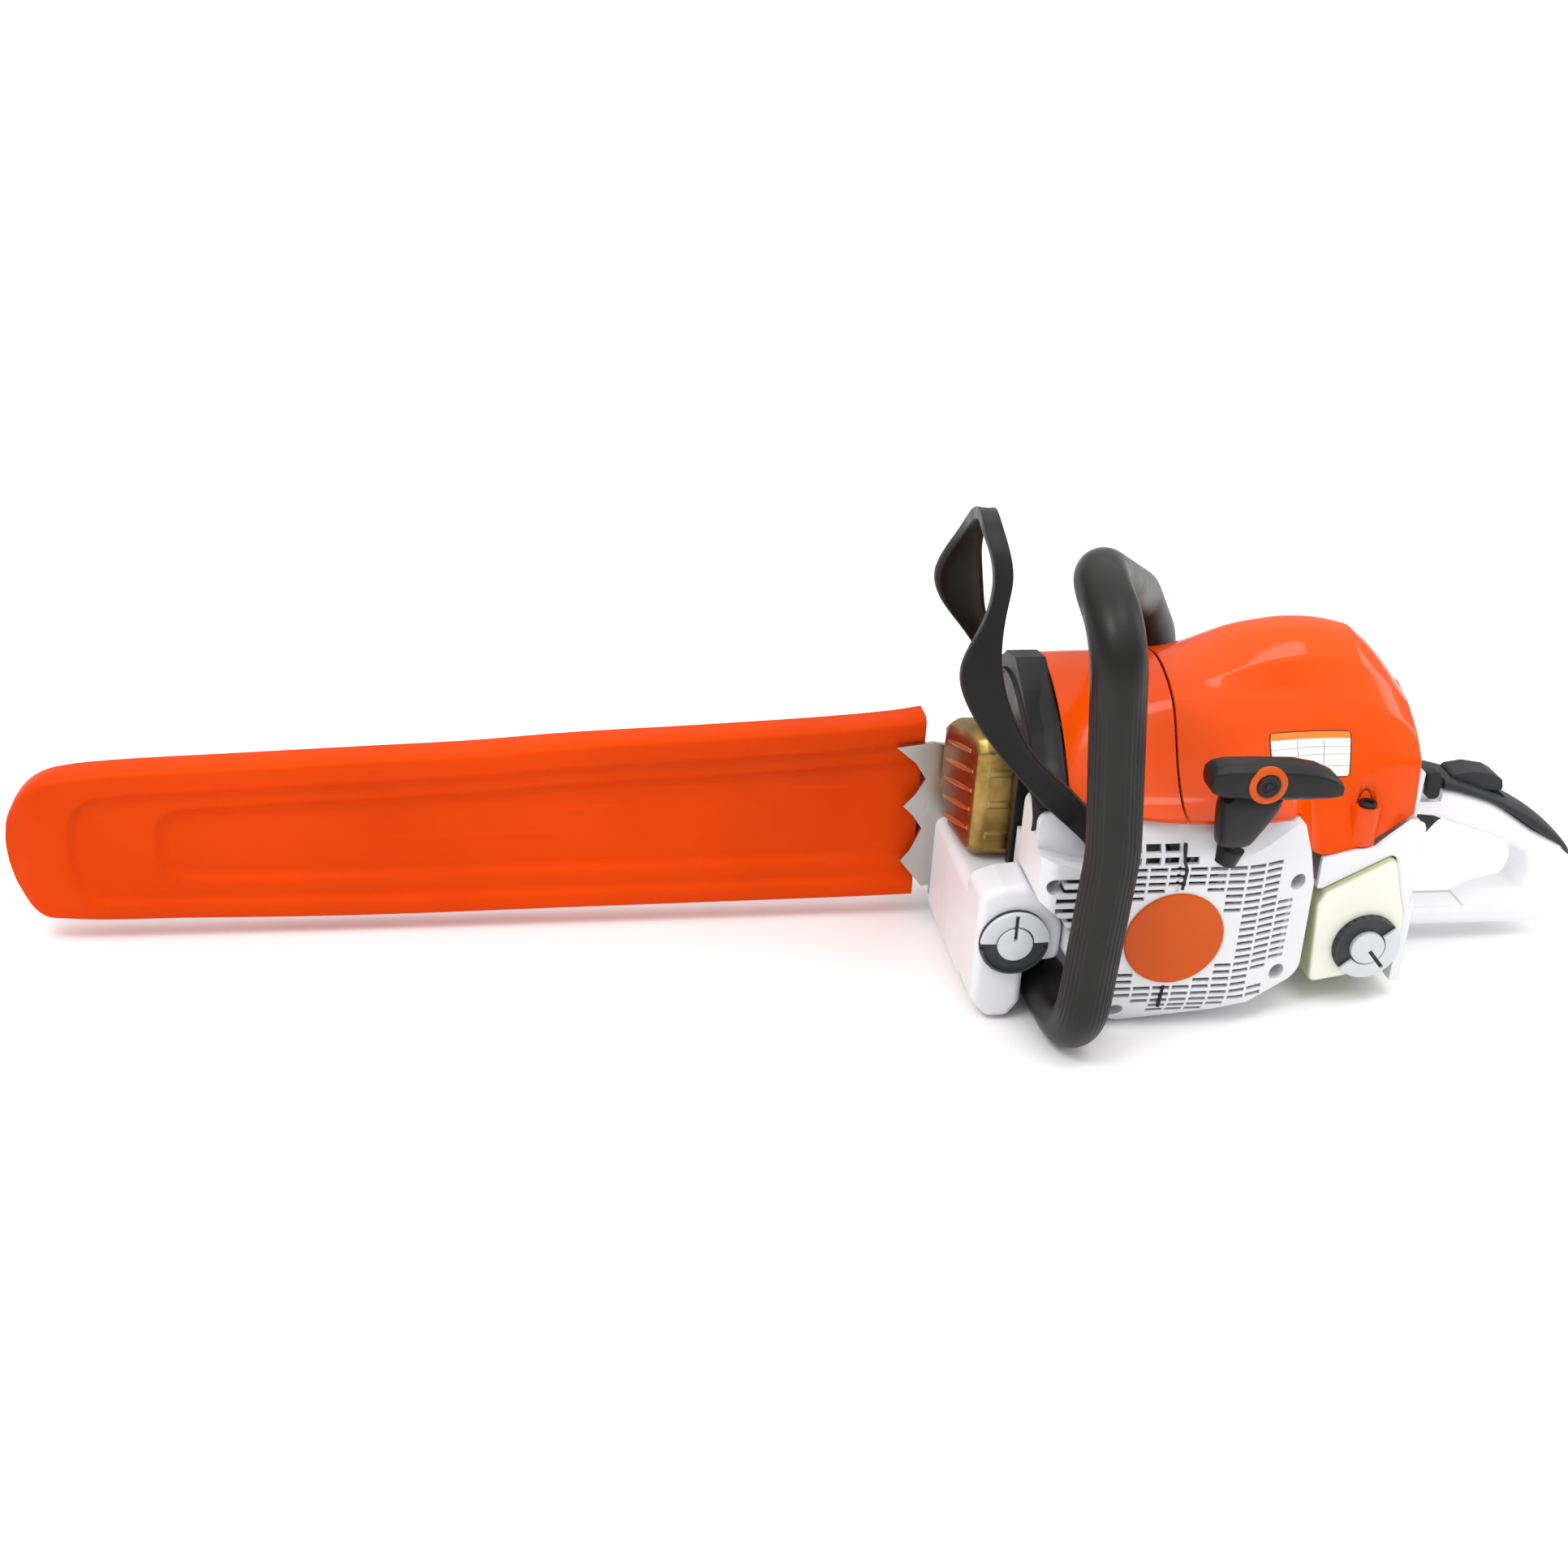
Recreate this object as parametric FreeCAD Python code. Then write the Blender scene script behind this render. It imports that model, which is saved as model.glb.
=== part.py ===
# Petrol chainsaw with a 50 cm guide bar, bar scabbard, front handlebar and chain-brake hand guard.
# Millimetres.  +X runs to the rear handle, -X to the bar tip, -Y is the recoil-starter side,
# +Y the chain side, +Z is up.  The origin is on the ground straight below the crankshaft axis.
import os
import math
import FreeCAD, Part

# ---- driving dimensions -------------------------------------------------------------------
CRANK_Z = 66.0            # height of the crankshaft axis
STROKE = 34.0
BORE = 50.0
ROD_LENGTH = 60.0
RUNNING_GAP = 0.05        # radial clearance of a running fit

CASE_LEFT_Y = -56.0       # joint between crankcase and starter cover
CASE_RIGHT_Y = 33.0       # joint between crankcase and bar pad
COVER_FACE_Y = -104.0     # outer face of the starter cover
COVER_WALL = 2.5
CASE_FRONT_X = -112.0
CASE_REAR_X = 94.0
CASE_TOP_Z = 108.0        # cylinder base
POCKET_Z = 76.0           # floor under the muffler

BAR_PLANE_Y = 50.0
BAR_THICKNESS = 4.0
BAR_TAIL_X = -36.0
NOSE_X = -611.0           # centre of the bar nose
NOSE_RADIUS = 20.5
BAR_HALF_HEIGHT = 33.3
CHAIN_HEIGHT = 8.0
CHAIN_WIDTH = 6.4
SPROCKET_RADIUS = 19.5
CHAIN_INNER_RADIUS = 20.3
STUD_X = (-55.0, -80.0)
STUD_RADIUS = 4.0
TENSION_Z = 51.0
TENSION_Y = 41.5

SCABBARD_Y = (38.0, 62.0)
SCABBARD_WALL = 2.2

HANDLE_GRIP_RADIUS = 15.7
HANDLE_TUBE_RADIUS = 12.4
HANDLE_ROUTE = ((-64, -52, 16.2), (-60, -133, 16.2), (-54, -133, 140), (-67, -133, 268),
                (-66, -80, 284), (0, 35, 226), (24, 62, 188), (31, 62, 126))
HANDLE_BENDS = (28, 150, 33, 60, 30, 22)

GUARD_PIVOT_X = -47.0
GUARD_PIVOT_Z = 124.0

BADGE_X = 1.0
BADGE_Z = 65.0
BADGE_RADIUS = 30.0

FUEL_CAP = (134.0, 41.0)
OIL_CAP = (-90.0, 56.0)
CAP_RADIUS = 21.0
TANK_FACE_Y = -80.0
OIL_FACE_Y = -86.0
FUEL_BAIL_TURN = -140.0     # how far the bails are turned from pointing straight up
OIL_BAIL_TURN = 0.0
BAIL_PIN_DEPTH = 3.6
BAIL_PIN_RADIUS = 1.2

BUSHING = (26.0, -101.0, 119.0)       # centre of the rope bushing
ROPE_AXIS = (0.275, -0.233, 0.932)    # direction in which the starter rope is pulled
ROPE_RADIUS = 1.75
PULLEY_ROPE_RADIUS = 28.2

TRIGGER_PIVOT = (219.0, 94.0)
INTERLOCK_PIVOT = (213.0, 114.0)

# ---- helpers ------------------------------------------------------------------------------


def vec(x, y, z):
    return FreeCAD.Vector(x, y, z)


def box(x0, x1, y0, y1, z0, z1):
    return Part.makeBox(x1 - x0, y1 - y0, z1 - z0, vec(x0, y0, z0))


def rod(start, end, radius):
    """Cylinder from one point to another."""
    a = vec(*start)
    b = vec(*end)
    return Part.makeCylinder(radius, (b - a).Length, a, b - a)


def cyl_y(x, z, radius, y0, y1):
    return Part.makeCylinder(radius, y1 - y0, vec(x, y0, z), vec(0, 1, 0))


def cyl_x(y, z, radius, x0, x1):
    return Part.makeCylinder(radius, x1 - x0, vec(x0, y, z), vec(1, 0, 0))


def cyl_z(x, y, radius, z0, z1):
    return Part.makeCylinder(radius, z1 - z0, vec(x, y, z0), vec(0, 0, 1))


def ring_y(x, z, outer, inner, y0, y1):
    return cyl_y(x, z, outer, y0, y1).cut(cyl_y(x, z, inner, y0 - 1, y1 + 1))


def rounded_wire(points):
    """Closed wire through 3-D corners given as (point, radius); each corner becomes a tangent arc."""
    count = len(points)
    corners = []
    for index in range(count):
        corner, radius = points[index]
        before = points[index - 1][0] - corner
        after = points[(index + 1) % count][0] - corner
        if radius <= 0:
            corners.append((corner, None, corner))
            continue
        half = before.getAngle(after) / 2
        reach = radius / math.tan(half)
        before.normalize()
        after.normalize()
        start = corner + before * reach
        end = corner + after * reach
        inward = before + after
        inward.normalize()
        centre = corner + inward * (radius / math.sin(half))
        corners.append((start, centre - inward * radius, end))
    edges = []
    for index in range(count):
        start, middle, end = corners[index]
        if middle is not None:
            edges.append(Part.Arc(start, middle, end).toShape())
        following = corners[(index + 1) % count][0]
        if (following - end).Length > 1e-6:
            edges.append(Part.LineSegment(end, following).toShape())
    return Part.Wire(edges)


def placed(points, place):
    """Corners (u, v) or (u, v, radius) turned into 3-D corners by the function place."""
    result = []
    for point in points:
        radius = point[2] if len(point) > 2 else 0
        result.append((place(point[0], point[1]), radius))
    return result


def prism_xz(points, y0, y1):
    face = Part.Face(rounded_wire(placed(points, lambda u, v: vec(u, y0, v))))
    return face.extrude(vec(0, y1 - y0, 0))


def prism_xy(points, z0, z1):
    face = Part.Face(rounded_wire(placed(points, lambda u, v: vec(u, v, z0))))
    return face.extrude(vec(0, 0, z1 - z0))


def prism_yz(points, x0, x1):
    face = Part.Face(rounded_wire(placed(points, lambda u, v: vec(x0, u, v))))
    return face.extrude(vec(x1 - x0, 0, 0))


def inset_prism_xz(points, inset, y0, y1):
    """Prism of an outline moved inward by inset."""
    face = Part.Face(rounded_wire(placed(points, lambda u, v: vec(u, y0, v))))
    return face.makeOffset2D(-inset).extrude(vec(0, y1 - y0, 0))


def skin(stations):
    """Solid through a row of sections with the same number of corners, closed by flat triangles."""
    faces = []

    def triangle(a, b, c):
        faces.append(Part.Face(Part.makePolygon([a, b, c, a])))

    count = len(stations[0])
    for first, second in zip(stations, stations[1:]):
        for index in range(count):
            following = (index + 1) % count
            triangle(first[index], first[following], second[following])
            triangle(first[index], second[following], second[index])
    for end in (stations[0], stations[-1]):
        middle = vec(0, 0, 0)
        for corner in end:
            middle = middle + corner * (1.0 / count)
        for index in range(count):
            triangle(end[index], end[(index + 1) % count], middle)
    solid = Part.Solid(Part.Shell(faces))
    if solid.Volume < 0:
        solid.reverse()
    return solid


def pipe(route, bends, radius):
    """Round bar along straight runs joined by tangent arcs of the given bend radii."""
    points = [vec(*point) for point in route]
    pieces = []
    start = points[0]
    for index in range(1, len(points) - 1):
        corner = points[index]
        back = points[index - 1] - corner
        ahead = points[index + 1] - corner
        half = back.getAngle(ahead) / 2
        reach = bends[index - 1] / math.tan(half)
        back.normalize()
        ahead.normalize()
        arc_start = corner + back * reach
        inward = back + ahead
        inward.normalize()
        centre = corner + inward * (bends[index - 1] / math.sin(half))
        normal = back.cross(ahead)
        pieces.append(Part.makeCylinder(radius, (arc_start - start).Length, start, arc_start - start))
        disc = Part.Face(Part.Wire(Part.makeCircle(radius, arc_start, back)))
        sweep = 180 - math.degrees(2 * half)
        pieces.append(disc.revolve(centre, normal * -1, sweep))
        start = corner + ahead * reach
    pieces.append(Part.makeCylinder(radius, (points[-1] - start).Length, start, points[-1] - start))
    return pieces[0].multiFuse(pieces[1:]).removeSplitter()


def group(solids):
    return Part.makeCompound(solids)


def rounded(shape, radius, keep):
    """Fillet the edges for which keep(edge) is true."""
    edges = [edge for edge in shape.Edges if keep(edge)]
    return shape.makeFillet(radius, edges)


def save(name, shape):
    shape.exportStep("parts/" + name + ".step")


# ---- fasteners ----------------------------------------------------------------------------
SCREW_HEAD = 4.5
SCREW_HEAD_HEIGHT = 4.0
SCREW_SHANK = 2.4
SCREW_LENGTH = 20.0
COVER_SCREWS = ((-74, 101), (77, 94), (73, 33), (-27, 13))
COVER_SCREW_SEAT = -66.0
SPIKE_SCREWS = ((-106, 38), (-106, 66))


def screw(x, y, z, direction):
    """Hexalobular screw whose head seats on (x, y, z); its shank points along direction."""
    axis = vec(*direction)
    seat = vec(x, y, z)
    head = Part.makeCylinder(SCREW_HEAD, SCREW_HEAD_HEIGHT, seat, axis * -1)
    socket = Part.makeCylinder(2.0, 2.5, seat - axis * SCREW_HEAD_HEIGHT, axis)
    shank = Part.makeCylinder(SCREW_SHANK, SCREW_LENGTH, seat, axis)
    return head.fuse(shank).cut(socket)


def all_screws():
    screws = []
    for x, z in COVER_SCREWS:
        screws.append(screw(x, COVER_SCREW_SEAT, z, (0, 1, 0)))
    for x, z in SPIKE_SCREWS:
        screws.append(screw(x, CASE_RIGHT_Y + 3, z, (0, -1, 0)))
    screws.append(screw(GUARD_PIVOT_X, -100, GUARD_PIVOT_Z, (0, 1, 0)))
    screws.append(screw(GUARD_PIVOT_X, 56, GUARD_PIVOT_Z, (0, -1, 0)))
    return screws


# ---- crankcase ----------------------------------------------------------------------------
CASE_OUTLINE = ((CASE_FRONT_X, 12, 9), (-100, 0, 6), (86, 0, 6), (CASE_REAR_X, 10, 6),
                (CASE_REAR_X, 90, 5), (44, 90, 4), (44, CASE_TOP_Z, 2), (-50, CASE_TOP_Z, 2),
                (-50, POCKET_Z, 3), (CASE_FRONT_X, POCKET_Z, 6))
OIL_OUTLINE = ((CASE_FRONT_X, 14, 11), (-101, 2, 8), (-88, 2, 6), (-81, 12, 5), (-81, 39, 4),
               (-60.3, 41, 5.5), (-60.3, 64, 9), (-68.3, 79, 8), (-84.3, 92, 7), (-98, 91, 7),
               (CASE_FRONT_X, 86, 6))
CRANK_CHAMBER = 37.5
BEARING_OUTER = 16.0
BEARING_Y = (19.5, 30.0)
AV_BUFFERS = ((-28, 30), (22, 30), (0, 74))


def crank_bores(side):
    """Space that the crank assembly needs in one crankcase half; side is -1 left, 1 right."""
    def span(a, b):
        return (a, b) if side > 0 else (-b, -a)
    chamber = cyl_y(0, CRANK_Z, CRANK_CHAMBER, *span(-1, BEARING_Y[0]))
    bearing = cyl_y(0, CRANK_Z, BEARING_OUTER, *span(0, BEARING_Y[1]))
    shaft = cyl_y(0, CRANK_Z, 10, *span(0, 90))
    throat = cyl_z(0, 0, BORE / 2 + 1, CRANK_Z, CASE_TOP_Z + 1)
    return chamber.fuse([bearing, shaft, throat])


def buffers():
    return [cyl_x(y, z, 9, 80, 98) for y, z in AV_BUFFERS]


def crankcase_left():
    body = prism_xz(CASE_OUTLINE, CASE_LEFT_Y, 0)
    oil_end = prism_xz(OIL_OUTLINE, OIL_FACE_Y, CASE_LEFT_Y)
    oil_end = rounded(oil_end, 5, lambda e: abs(e.BoundBox.YMax - OIL_FACE_Y) < 0.01)
    coil_bracket = box(-24, 24, -60, -52, 100, 130)
    screw_column = box(-82, -66, CASE_LEFT_Y, -43, 70, 109)
    body = body.fuse([oil_end, coil_bracket, screw_column])
    oil_space = box(-107, -66, -82, -8, 12, 70).common(prism_xz(OIL_OUTLINE, -82, 0))
    rear_space = box(46, 78, -50, -5, 8, 84)
    neck = cyl_y(OIL_CAP[0], OIL_CAP[1], 12, OIL_FACE_Y - 1, -80)
    body = body.cut(crank_bores(-1)).cut([oil_space, rear_space])
    return body.cut([neck] + buffers() + all_screws())


def crankcase_right():
    body = prism_xz(CASE_OUTLINE, 0, CASE_RIGHT_Y)
    pad = prism_xz(((-100, 43, 6), (-100, 88, 6), (-42, 88, 6), (-42, 43, 6)),
                   CASE_RIGHT_Y, BAR_PLANE_Y - BAR_THICKNESS / 2)
    guard_lug = box(-50, -41.5, 28, 45, 84, 112).fuse(prism_xz(
        ((-57, 108, 0), (-57, 133, 5), (-41.5, 133, 5), (-41.5, 108, 0)), 37, 45))
    body = body.fuse([pad, guard_lug])
    front_space = box(-106, -56, 5, 28, 8, 70)
    rear_space = box(46, 78, 5, 28, 8, 84)
    pin_slot = box(-74, -54, 37, 49, TENSION_Z - 5, TENSION_Z + 5)
    screw_hole = cyl_x(TENSION_Y, TENSION_Z, 3.0, -101, -50)
    body = body.cut(crank_bores(1)).cut([front_space, rear_space, pin_slot, screw_hole])
    return body.cut(buffers() + stud_solids() + all_screws())


# ---- engine -------------------------------------------------------------------------------
PISTON_TOP = 162.0
PIN_Z = CRANK_Z + STROKE / 2 + ROD_LENGTH
CYLINDER_TOP = 176.0


def crankshaft():
    """Two pressed halves; the crankpin between them is a piece of its own."""
    shaft_radius = 8.5
    left = cyl_y(0, CRANK_Z, shaft_radius, -84, -8).fuse(cyl_y(0, CRANK_Z, 27, -18, -8))
    right = cyl_y(0, CRANK_Z, shaft_radius, 8, 44).fuse(cyl_y(0, CRANK_Z, 27, 8, 18))
    right = right.fuse(cyl_y(0, CRANK_Z, 7.5, 44, 59)).fuse(cyl_y(0, CRANK_Z, 6.5, 59, 75))
    relief = box(-30, 30, -30, 30, CRANK_Z + 22, CRANK_Z + 30)
    return group([left.cut(relief), right.cut(relief)])


def crankpin():
    return cyl_y(0, CRANK_Z + STROKE / 2, 7.5, -7.8, 7.8)


def connecting_rod():
    big_z = CRANK_Z + STROKE / 2
    body = cyl_y(0, big_z, 13, -6, 6).fuse([cyl_y(0, PIN_Z, 9, -6, 6), box(-5, 5, -3, 3, big_z, PIN_Z)])
    body = body.cut(cyl_y(0, big_z, 7.5 + RUNNING_GAP, -8, 8))
    return body.cut(cyl_y(0, PIN_Z, 5 + RUNNING_GAP, -8, 8))


def piston():
    body = cyl_z(0, 0, BORE / 2, PISTON_TOP - 32, PISTON_TOP)
    for ring_z in (PISTON_TOP - 5, PISTON_TOP - 9):
        groove = cyl_z(0, 0, BORE / 2 + 1, ring_z, ring_z + 1.2).cut(cyl_z(0, 0, 23, ring_z, ring_z + 1.2))
        body = body.cut(groove)
    body = body.cut(cyl_z(0, 0, 21, PISTON_TOP - 33, PISTON_TOP - 9))
    bosses = [cyl_y(0, PIN_Z, 8, y0, y0 + 13).common(cyl_z(0, 0, 22, 125, 160)) for y0 in (-21, 8)]
    body = body.fuse(bosses)
    return body.cut(cyl_y(0, PIN_Z, 5, -30, 30))


def piston_pin():
    return cyl_y(0, PIN_Z, 5, -21, 21).cut(cyl_y(0, PIN_Z, 3, -22, 22))


def crank_bearings():
    rings = []
    for y0 in (-BEARING_Y[1], BEARING_Y[0]):
        y1 = y0 + BEARING_Y[1] - BEARING_Y[0]
        rings.append(ring_y(0, CRANK_Z, BEARING_OUTER, 8.5 + RUNNING_GAP, y0, y1))
    return group(rings)


def cylinder():
    body = cyl_z(0, 0, 31, CASE_TOP_Z, CYLINDER_TOP)
    body = body.fuse(box(-34, 34, -32, 32, CASE_TOP_Z, CASE_TOP_Z + 7))
    fins = []
    for index in range(11):
        z = 122 + 5 * index
        half = 38 if z < 150 else 32
        fins.append(prism_xy(((-40, -half, 12), (40, -half, 12), (40, half, 12), (-40, half, 12)), z, z + 2))
    exhaust = box(-52, -24, -18, 18, 122, 144)
    intake = box(24, 50, -18, 18, 124, 146)
    body = body.fuse(fins + [exhaust, intake])
    bore = cyl_z(0, 0, BORE / 2 + RUNNING_GAP, CASE_TOP_Z - 1, PISTON_TOP + 2)
    exhaust_port = cyl_x(0, 133, 9, -53, -20)
    intake_port = cyl_x(0, 135, 9, 20, 51)
    return body.cut([bore, exhaust_port, intake_port, plug_thread()])


def plug_thread():
    return cyl_z(0, 0, 5, PISTON_TOP, CYLINDER_TOP + 1)


def spark_plug():
    body = cyl_z(0, 0, 5, PISTON_TOP + 3, CYLINDER_TOP)
    hexagon = prism_xy([(9 * math.cos(math.radians(60 * i)), 9 * math.sin(math.radians(60 * i)))
                        for i in range(6)], CYLINDER_TOP, CYLINDER_TOP + 6)
    return body.fuse([hexagon, cyl_z(0, 0, 4.5, CYLINDER_TOP + 6, CYLINDER_TOP + 18)])


def plug_boot():
    body = cyl_z(0, 0, 8, CYLINDER_TOP + 7, CYLINDER_TOP + 21)
    lead_end = cyl_x(0, CYLINDER_TOP + 15, 5, -22, 0)
    return body.fuse(lead_end).cut(cyl_z(0, 0, 4.5, CYLINDER_TOP, CYLINDER_TOP + 18))


def carburettor():
    body = box(66, 98, -20, 18, 118, 152)
    flange = box(98, 101, -26, 24, 114, 156)
    lever = cyl_y(82, 142, 3, -30, -20).fuse(box(79, 85, -30, -27, 126, 146))
    body = body.fuse([flange, lever])
    return body.cut(cyl_x(0, 135, 8, 60, 105))


def intake_boot():
    body = box(50, 53, -18, 18, 124, 146).fuse([cyl_x(0, 135, 13, 53, 63), cyl_x(0, 135, 16, 63, 66)])
    return body.cut(cyl_x(0, 135, 9, 40, 70))


def air_filter():
    """Pleated round-cornered filter with a clean-air bore."""
    outline = ((-32, 122, 10), (-27, 174, 12), (24, 174, 12), (32, 122, 10))
    body = prism_yz(outline, 101, 144)
    return body.cut(prism_yz(((-20, 134, 8), (-17, 162, 8), (15, 162, 8), (20, 134, 8)), 100, 136))


def flywheel():
    body = cyl_y(0, CRANK_Z, 47, -68, -64).fuse([ring_y(0, CRANK_Z, 47, 40, -64, -60),
                                                 cyl_y(0, CRANK_Z, 14, -84, -60)])
    blades = []
    for index in range(18):
        blade = box(-1.2, 1.2, -82, -68, 18, 45)
        blade.rotate(vec(0, 0, 0), vec(0, 1, 0), 20 * index)
        blade.translate(vec(0, 0, CRANK_Z))
        blades.append(blade)
    return body.fuse(blades).cut(cyl_y(0, CRANK_Z, 8.5, -90, -50)).removeSplitter()


def ignition_module():
    body = box(-22, 22, -74, -60, 116, 132)
    leg = box(-20, -12, -68, -60, 114.5, 117).fuse(box(12, 20, -68, -60, 114.5, 117))
    return body.fuse(leg)


# ---- recoil starter -----------------------------------------------------------------------
COVER_OUTLINE = ((-83.5, 141, 8), (36, 137.5, 30), (74, 135, 6), (83, 112, 20), (89, 90, 14),
                 (90, 28, 12), (36, 10, 60), (-22, 1, 6), (-35, 7, 4), (-42, 41, 5),
                 (-59.5, 46, 5), (-59.5, 64, 10), (-67.5, 79, 9), (-83.5, 92, 6))
SLOT_PITCH = (12.0, 4.7)
SLOT_SIZE = (10.4, 2.5)
POST_RADIUS = 7.4


def cover_form(inset):
    """Solid of the starter cover's outer form, or of the space inside it."""
    if inset:
        side = inset_prism_xz(COVER_OUTLINE, inset, COVER_FACE_Y + inset, CASE_LEFT_Y + 1)
    else:
        side = prism_xz(COVER_OUTLINE, COVER_FACE_Y, CASE_LEFT_Y)
    back = CASE_LEFT_Y + 2
    plan = prism_xy(((-90, back), (-90, -96 + inset), (-76, COVER_FACE_Y + inset, 10),
                     (44, COVER_FACE_Y + inset, 60), (92, -88 + inset), (92, back)), -5, 150)
    face = prism_yz(((back, -5), (back, 150), (-86 + inset, 150), (-104 + inset, 120, 14),
                     (-104 + inset, 22, 30), (-88 + inset, -5)), -95, 95)
    return side.common(plan).common(face)


def slot(x, z, width, height):
    return box(x - width / 2, x + width / 2, COVER_FACE_Y - 1, COVER_FACE_Y + 12, z - height / 2, z + height / 2)


def inside_cover(x, z, margin):
    """True where a slot end keeps its margin to the rim, the badge and the screw wells."""
    centre_distance = math.hypot(x - BADGE_X, z - BADGE_Z)
    if centre_distance < BADGE_RADIUS + margin:
        return False
    for screw_x, screw_z in COVER_SCREWS:
        if math.hypot(x - screw_x, z - screw_z) < 9 + margin:
            return False
    low_edge = 8 + 0.33 * max(0.0, x - 30)
    return z > low_edge + margin


def grille_slots():
    """Rows of air slots round the badge."""
    slots = []
    for row in range(22):
        z = 12.0 + row * SLOT_PITCH[1]
        for column in range(10):
            x = -26.0 + column * SLOT_PITCH[0]
            half = SLOT_SIZE[0] / 2
            if x > 76 or (x > 68 and z > 84):
                continue
            if inside_cover(x - half, z, 2.0) and inside_cover(x + half, z, 2.0):
                slots.append(slot(x, z, *SLOT_SIZE))
    return slots


def louvre_slots():
    return [slot(-64, 66 + 6.4 * index, 18, 3.6) for index in range(7)]


def upper_slots():
    """Large openings above the badge, beside the rope bushing."""
    slots = []
    for row in range(2):
        for column in range(4):
            if column == 3 and row == 1:
                continue
            slots.append(slot(-30 + 11.5 * column, 116.5 + 7.2 * row, 9, 4.6))
    return slots


def guard_recess(grow):
    """Side outline of the hand guard's foot, grown by a margin."""
    return ((GUARD_PIVOT_X + 13 + grow, GUARD_PIVOT_Z - 12 - grow, 8), (GUARD_PIVOT_X - 13 - grow,
            GUARD_PIVOT_Z - 12 - grow, 8), (-95 - grow, 123 - grow, 0), (-95 - grow, 160, 0),
            (GUARD_PIVOT_X + 13 + grow, 160, 0))


def starter_cover():
    shell = cover_form(0).cut(cover_form(COVER_WALL))
    outer = cover_form(0)
    posts = [cyl_y(x, z, POST_RADIUS, COVER_FACE_Y + 1, CASE_LEFT_Y).common(outer) for x, z in COVER_SCREWS]
    hub = cyl_y(0, CRANK_Z, 6, COVER_FACE_Y + 1, -86.5)
    tub = prism_xz(guard_recess(2.5), -103, -86).common(cover_form(0))
    pivot_boss = cyl_y(GUARD_PIVOT_X, GUARD_PIVOT_Z, 6, -89, -78)
    body = shell.fuse(posts + [hub, tub, pivot_boss])
    wells = [cyl_y(x, z, 5.2, COVER_FACE_Y - 1, COVER_SCREW_SEAT) for x, z in COVER_SCREWS]
    recess = prism_xz(guard_recess(0), -110, -88.5)
    seams = box(-3, -1, COVER_FACE_Y - 1, COVER_FACE_Y + 1.2, 96, 126)
    body = body.cut(recess).cut(wells)
    body = body.cut(grille_slots() + louvre_slots() + upper_slots() + [seams])
    return body.cut([bushing_blank(), rope(ROPE_RADIUS + 0.4)] + all_screws())


def badge_disc():
    disc = cyl_y(BADGE_X, BADGE_Z, BADGE_RADIUS, COVER_FACE_Y - 1.6, COVER_FACE_Y)
    return rounded(disc, 0.8, lambda e: abs(e.BoundBox.YMax - COVER_FACE_Y + 1.6) < 0.01)


def along_rope(distance):
    """Point on the rope's pull line, measured from the bushing."""
    return tuple(BUSHING[i] + ROPE_AXIS[i] * distance for i in range(3))


def bushing_blank():
    return rod(along_rope(-4), along_rope(6), 8)


def rope_route():
    tangent_x = PULLEY_ROPE_RADIUS
    return [(tangent_x, -91.5, CRANK_Z), (tangent_x, -91.5, 88), BUSHING, along_rope(14)]


def rope(radius):
    return pipe(rope_route(), (40, 60), radius)


def rope_bushing():
    return bushing_blank().cut([rod(along_rope(-9), along_rope(9), ROPE_RADIUS + 0.6), rope(ROPE_RADIUS + 0.4)])


def starter_grip():
    bar = prism_xz(((2, 163, 5), (6, 183, 5), (46, 185, 20), (89, 171, 4), (87, 160, 4),
                    (56, 157, 8), (44, 158, 8)), -124, -105)
    bar = rounded(bar, 4, lambda e: e.BoundBox.YLength < 0.01 and e.BoundBox.YMin < -123)
    stem = skin([[vec(27 - 8, -112, 126), vec(27 + 8, -112, 126), vec(27 + 8, -101.5, 128), vec(27 - 8, -101.5, 128)],
                 [vec(38 - 12, -122, 162), vec(38 + 14, -122, 162), vec(38 + 14, -106, 162), vec(38 - 12, -106, 162)]])
    body = bar.fuse(stem)
    body = body.cut(rod(along_rope(0), along_rope(14), ROPE_RADIUS + 0.1))
    return body.cut(rod(along_rope(-4), along_rope(6.2), 8.1))


def starter_pulley():
    body = cyl_y(0, CRANK_Z, 30, -96, -87)
    groove = ring_y(0, CRANK_Z, 31, PULLEY_ROPE_RADIUS - ROPE_RADIUS - 0.2, -93.6, -89.4)
    body = body.cut(groove)
    return body.cut(cyl_y(0, CRANK_Z, 6 + RUNNING_GAP, -99, -80))


def recoil_spring():
    """Wound flat spring: a strip of spring steel in a spiral, drawn as nested rings on one web."""
    coils = [ring_y(0, CRANK_Z, 9 + 3 * i, 8 + 3 * i, -101.3, -96.4) for i in range(7)]
    web = box(8, 27, -101.3, -100.3, CRANK_Z - 1, CRANK_Z + 1)
    return coils[0].multiFuse(coils[1:] + [web])


# ---- handles ------------------------------------------------------------------------------
HANDLE_BOSS_TOP = 130.0
BARE_END = 6.0


def handle_form(radius):
    """Solid handlebar of a given radius, trimmed flush at its foot and on its boss."""
    beyond_foot = box(-90, -30, CASE_LEFT_Y, -30, 0, 60)
    below_boss = box(0, 60, 30, 90, 110, HANDLE_BOSS_TOP)
    return pipe(HANDLE_ROUTE, HANDLE_BENDS, radius).cut([beyond_foot, below_boss])


def handle_tube():
    return handle_form(HANDLE_TUBE_RADIUS).cut(pipe(HANDLE_ROUTE, HANDLE_BENDS, HANDLE_TUBE_RADIUS - 2.0))


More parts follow.
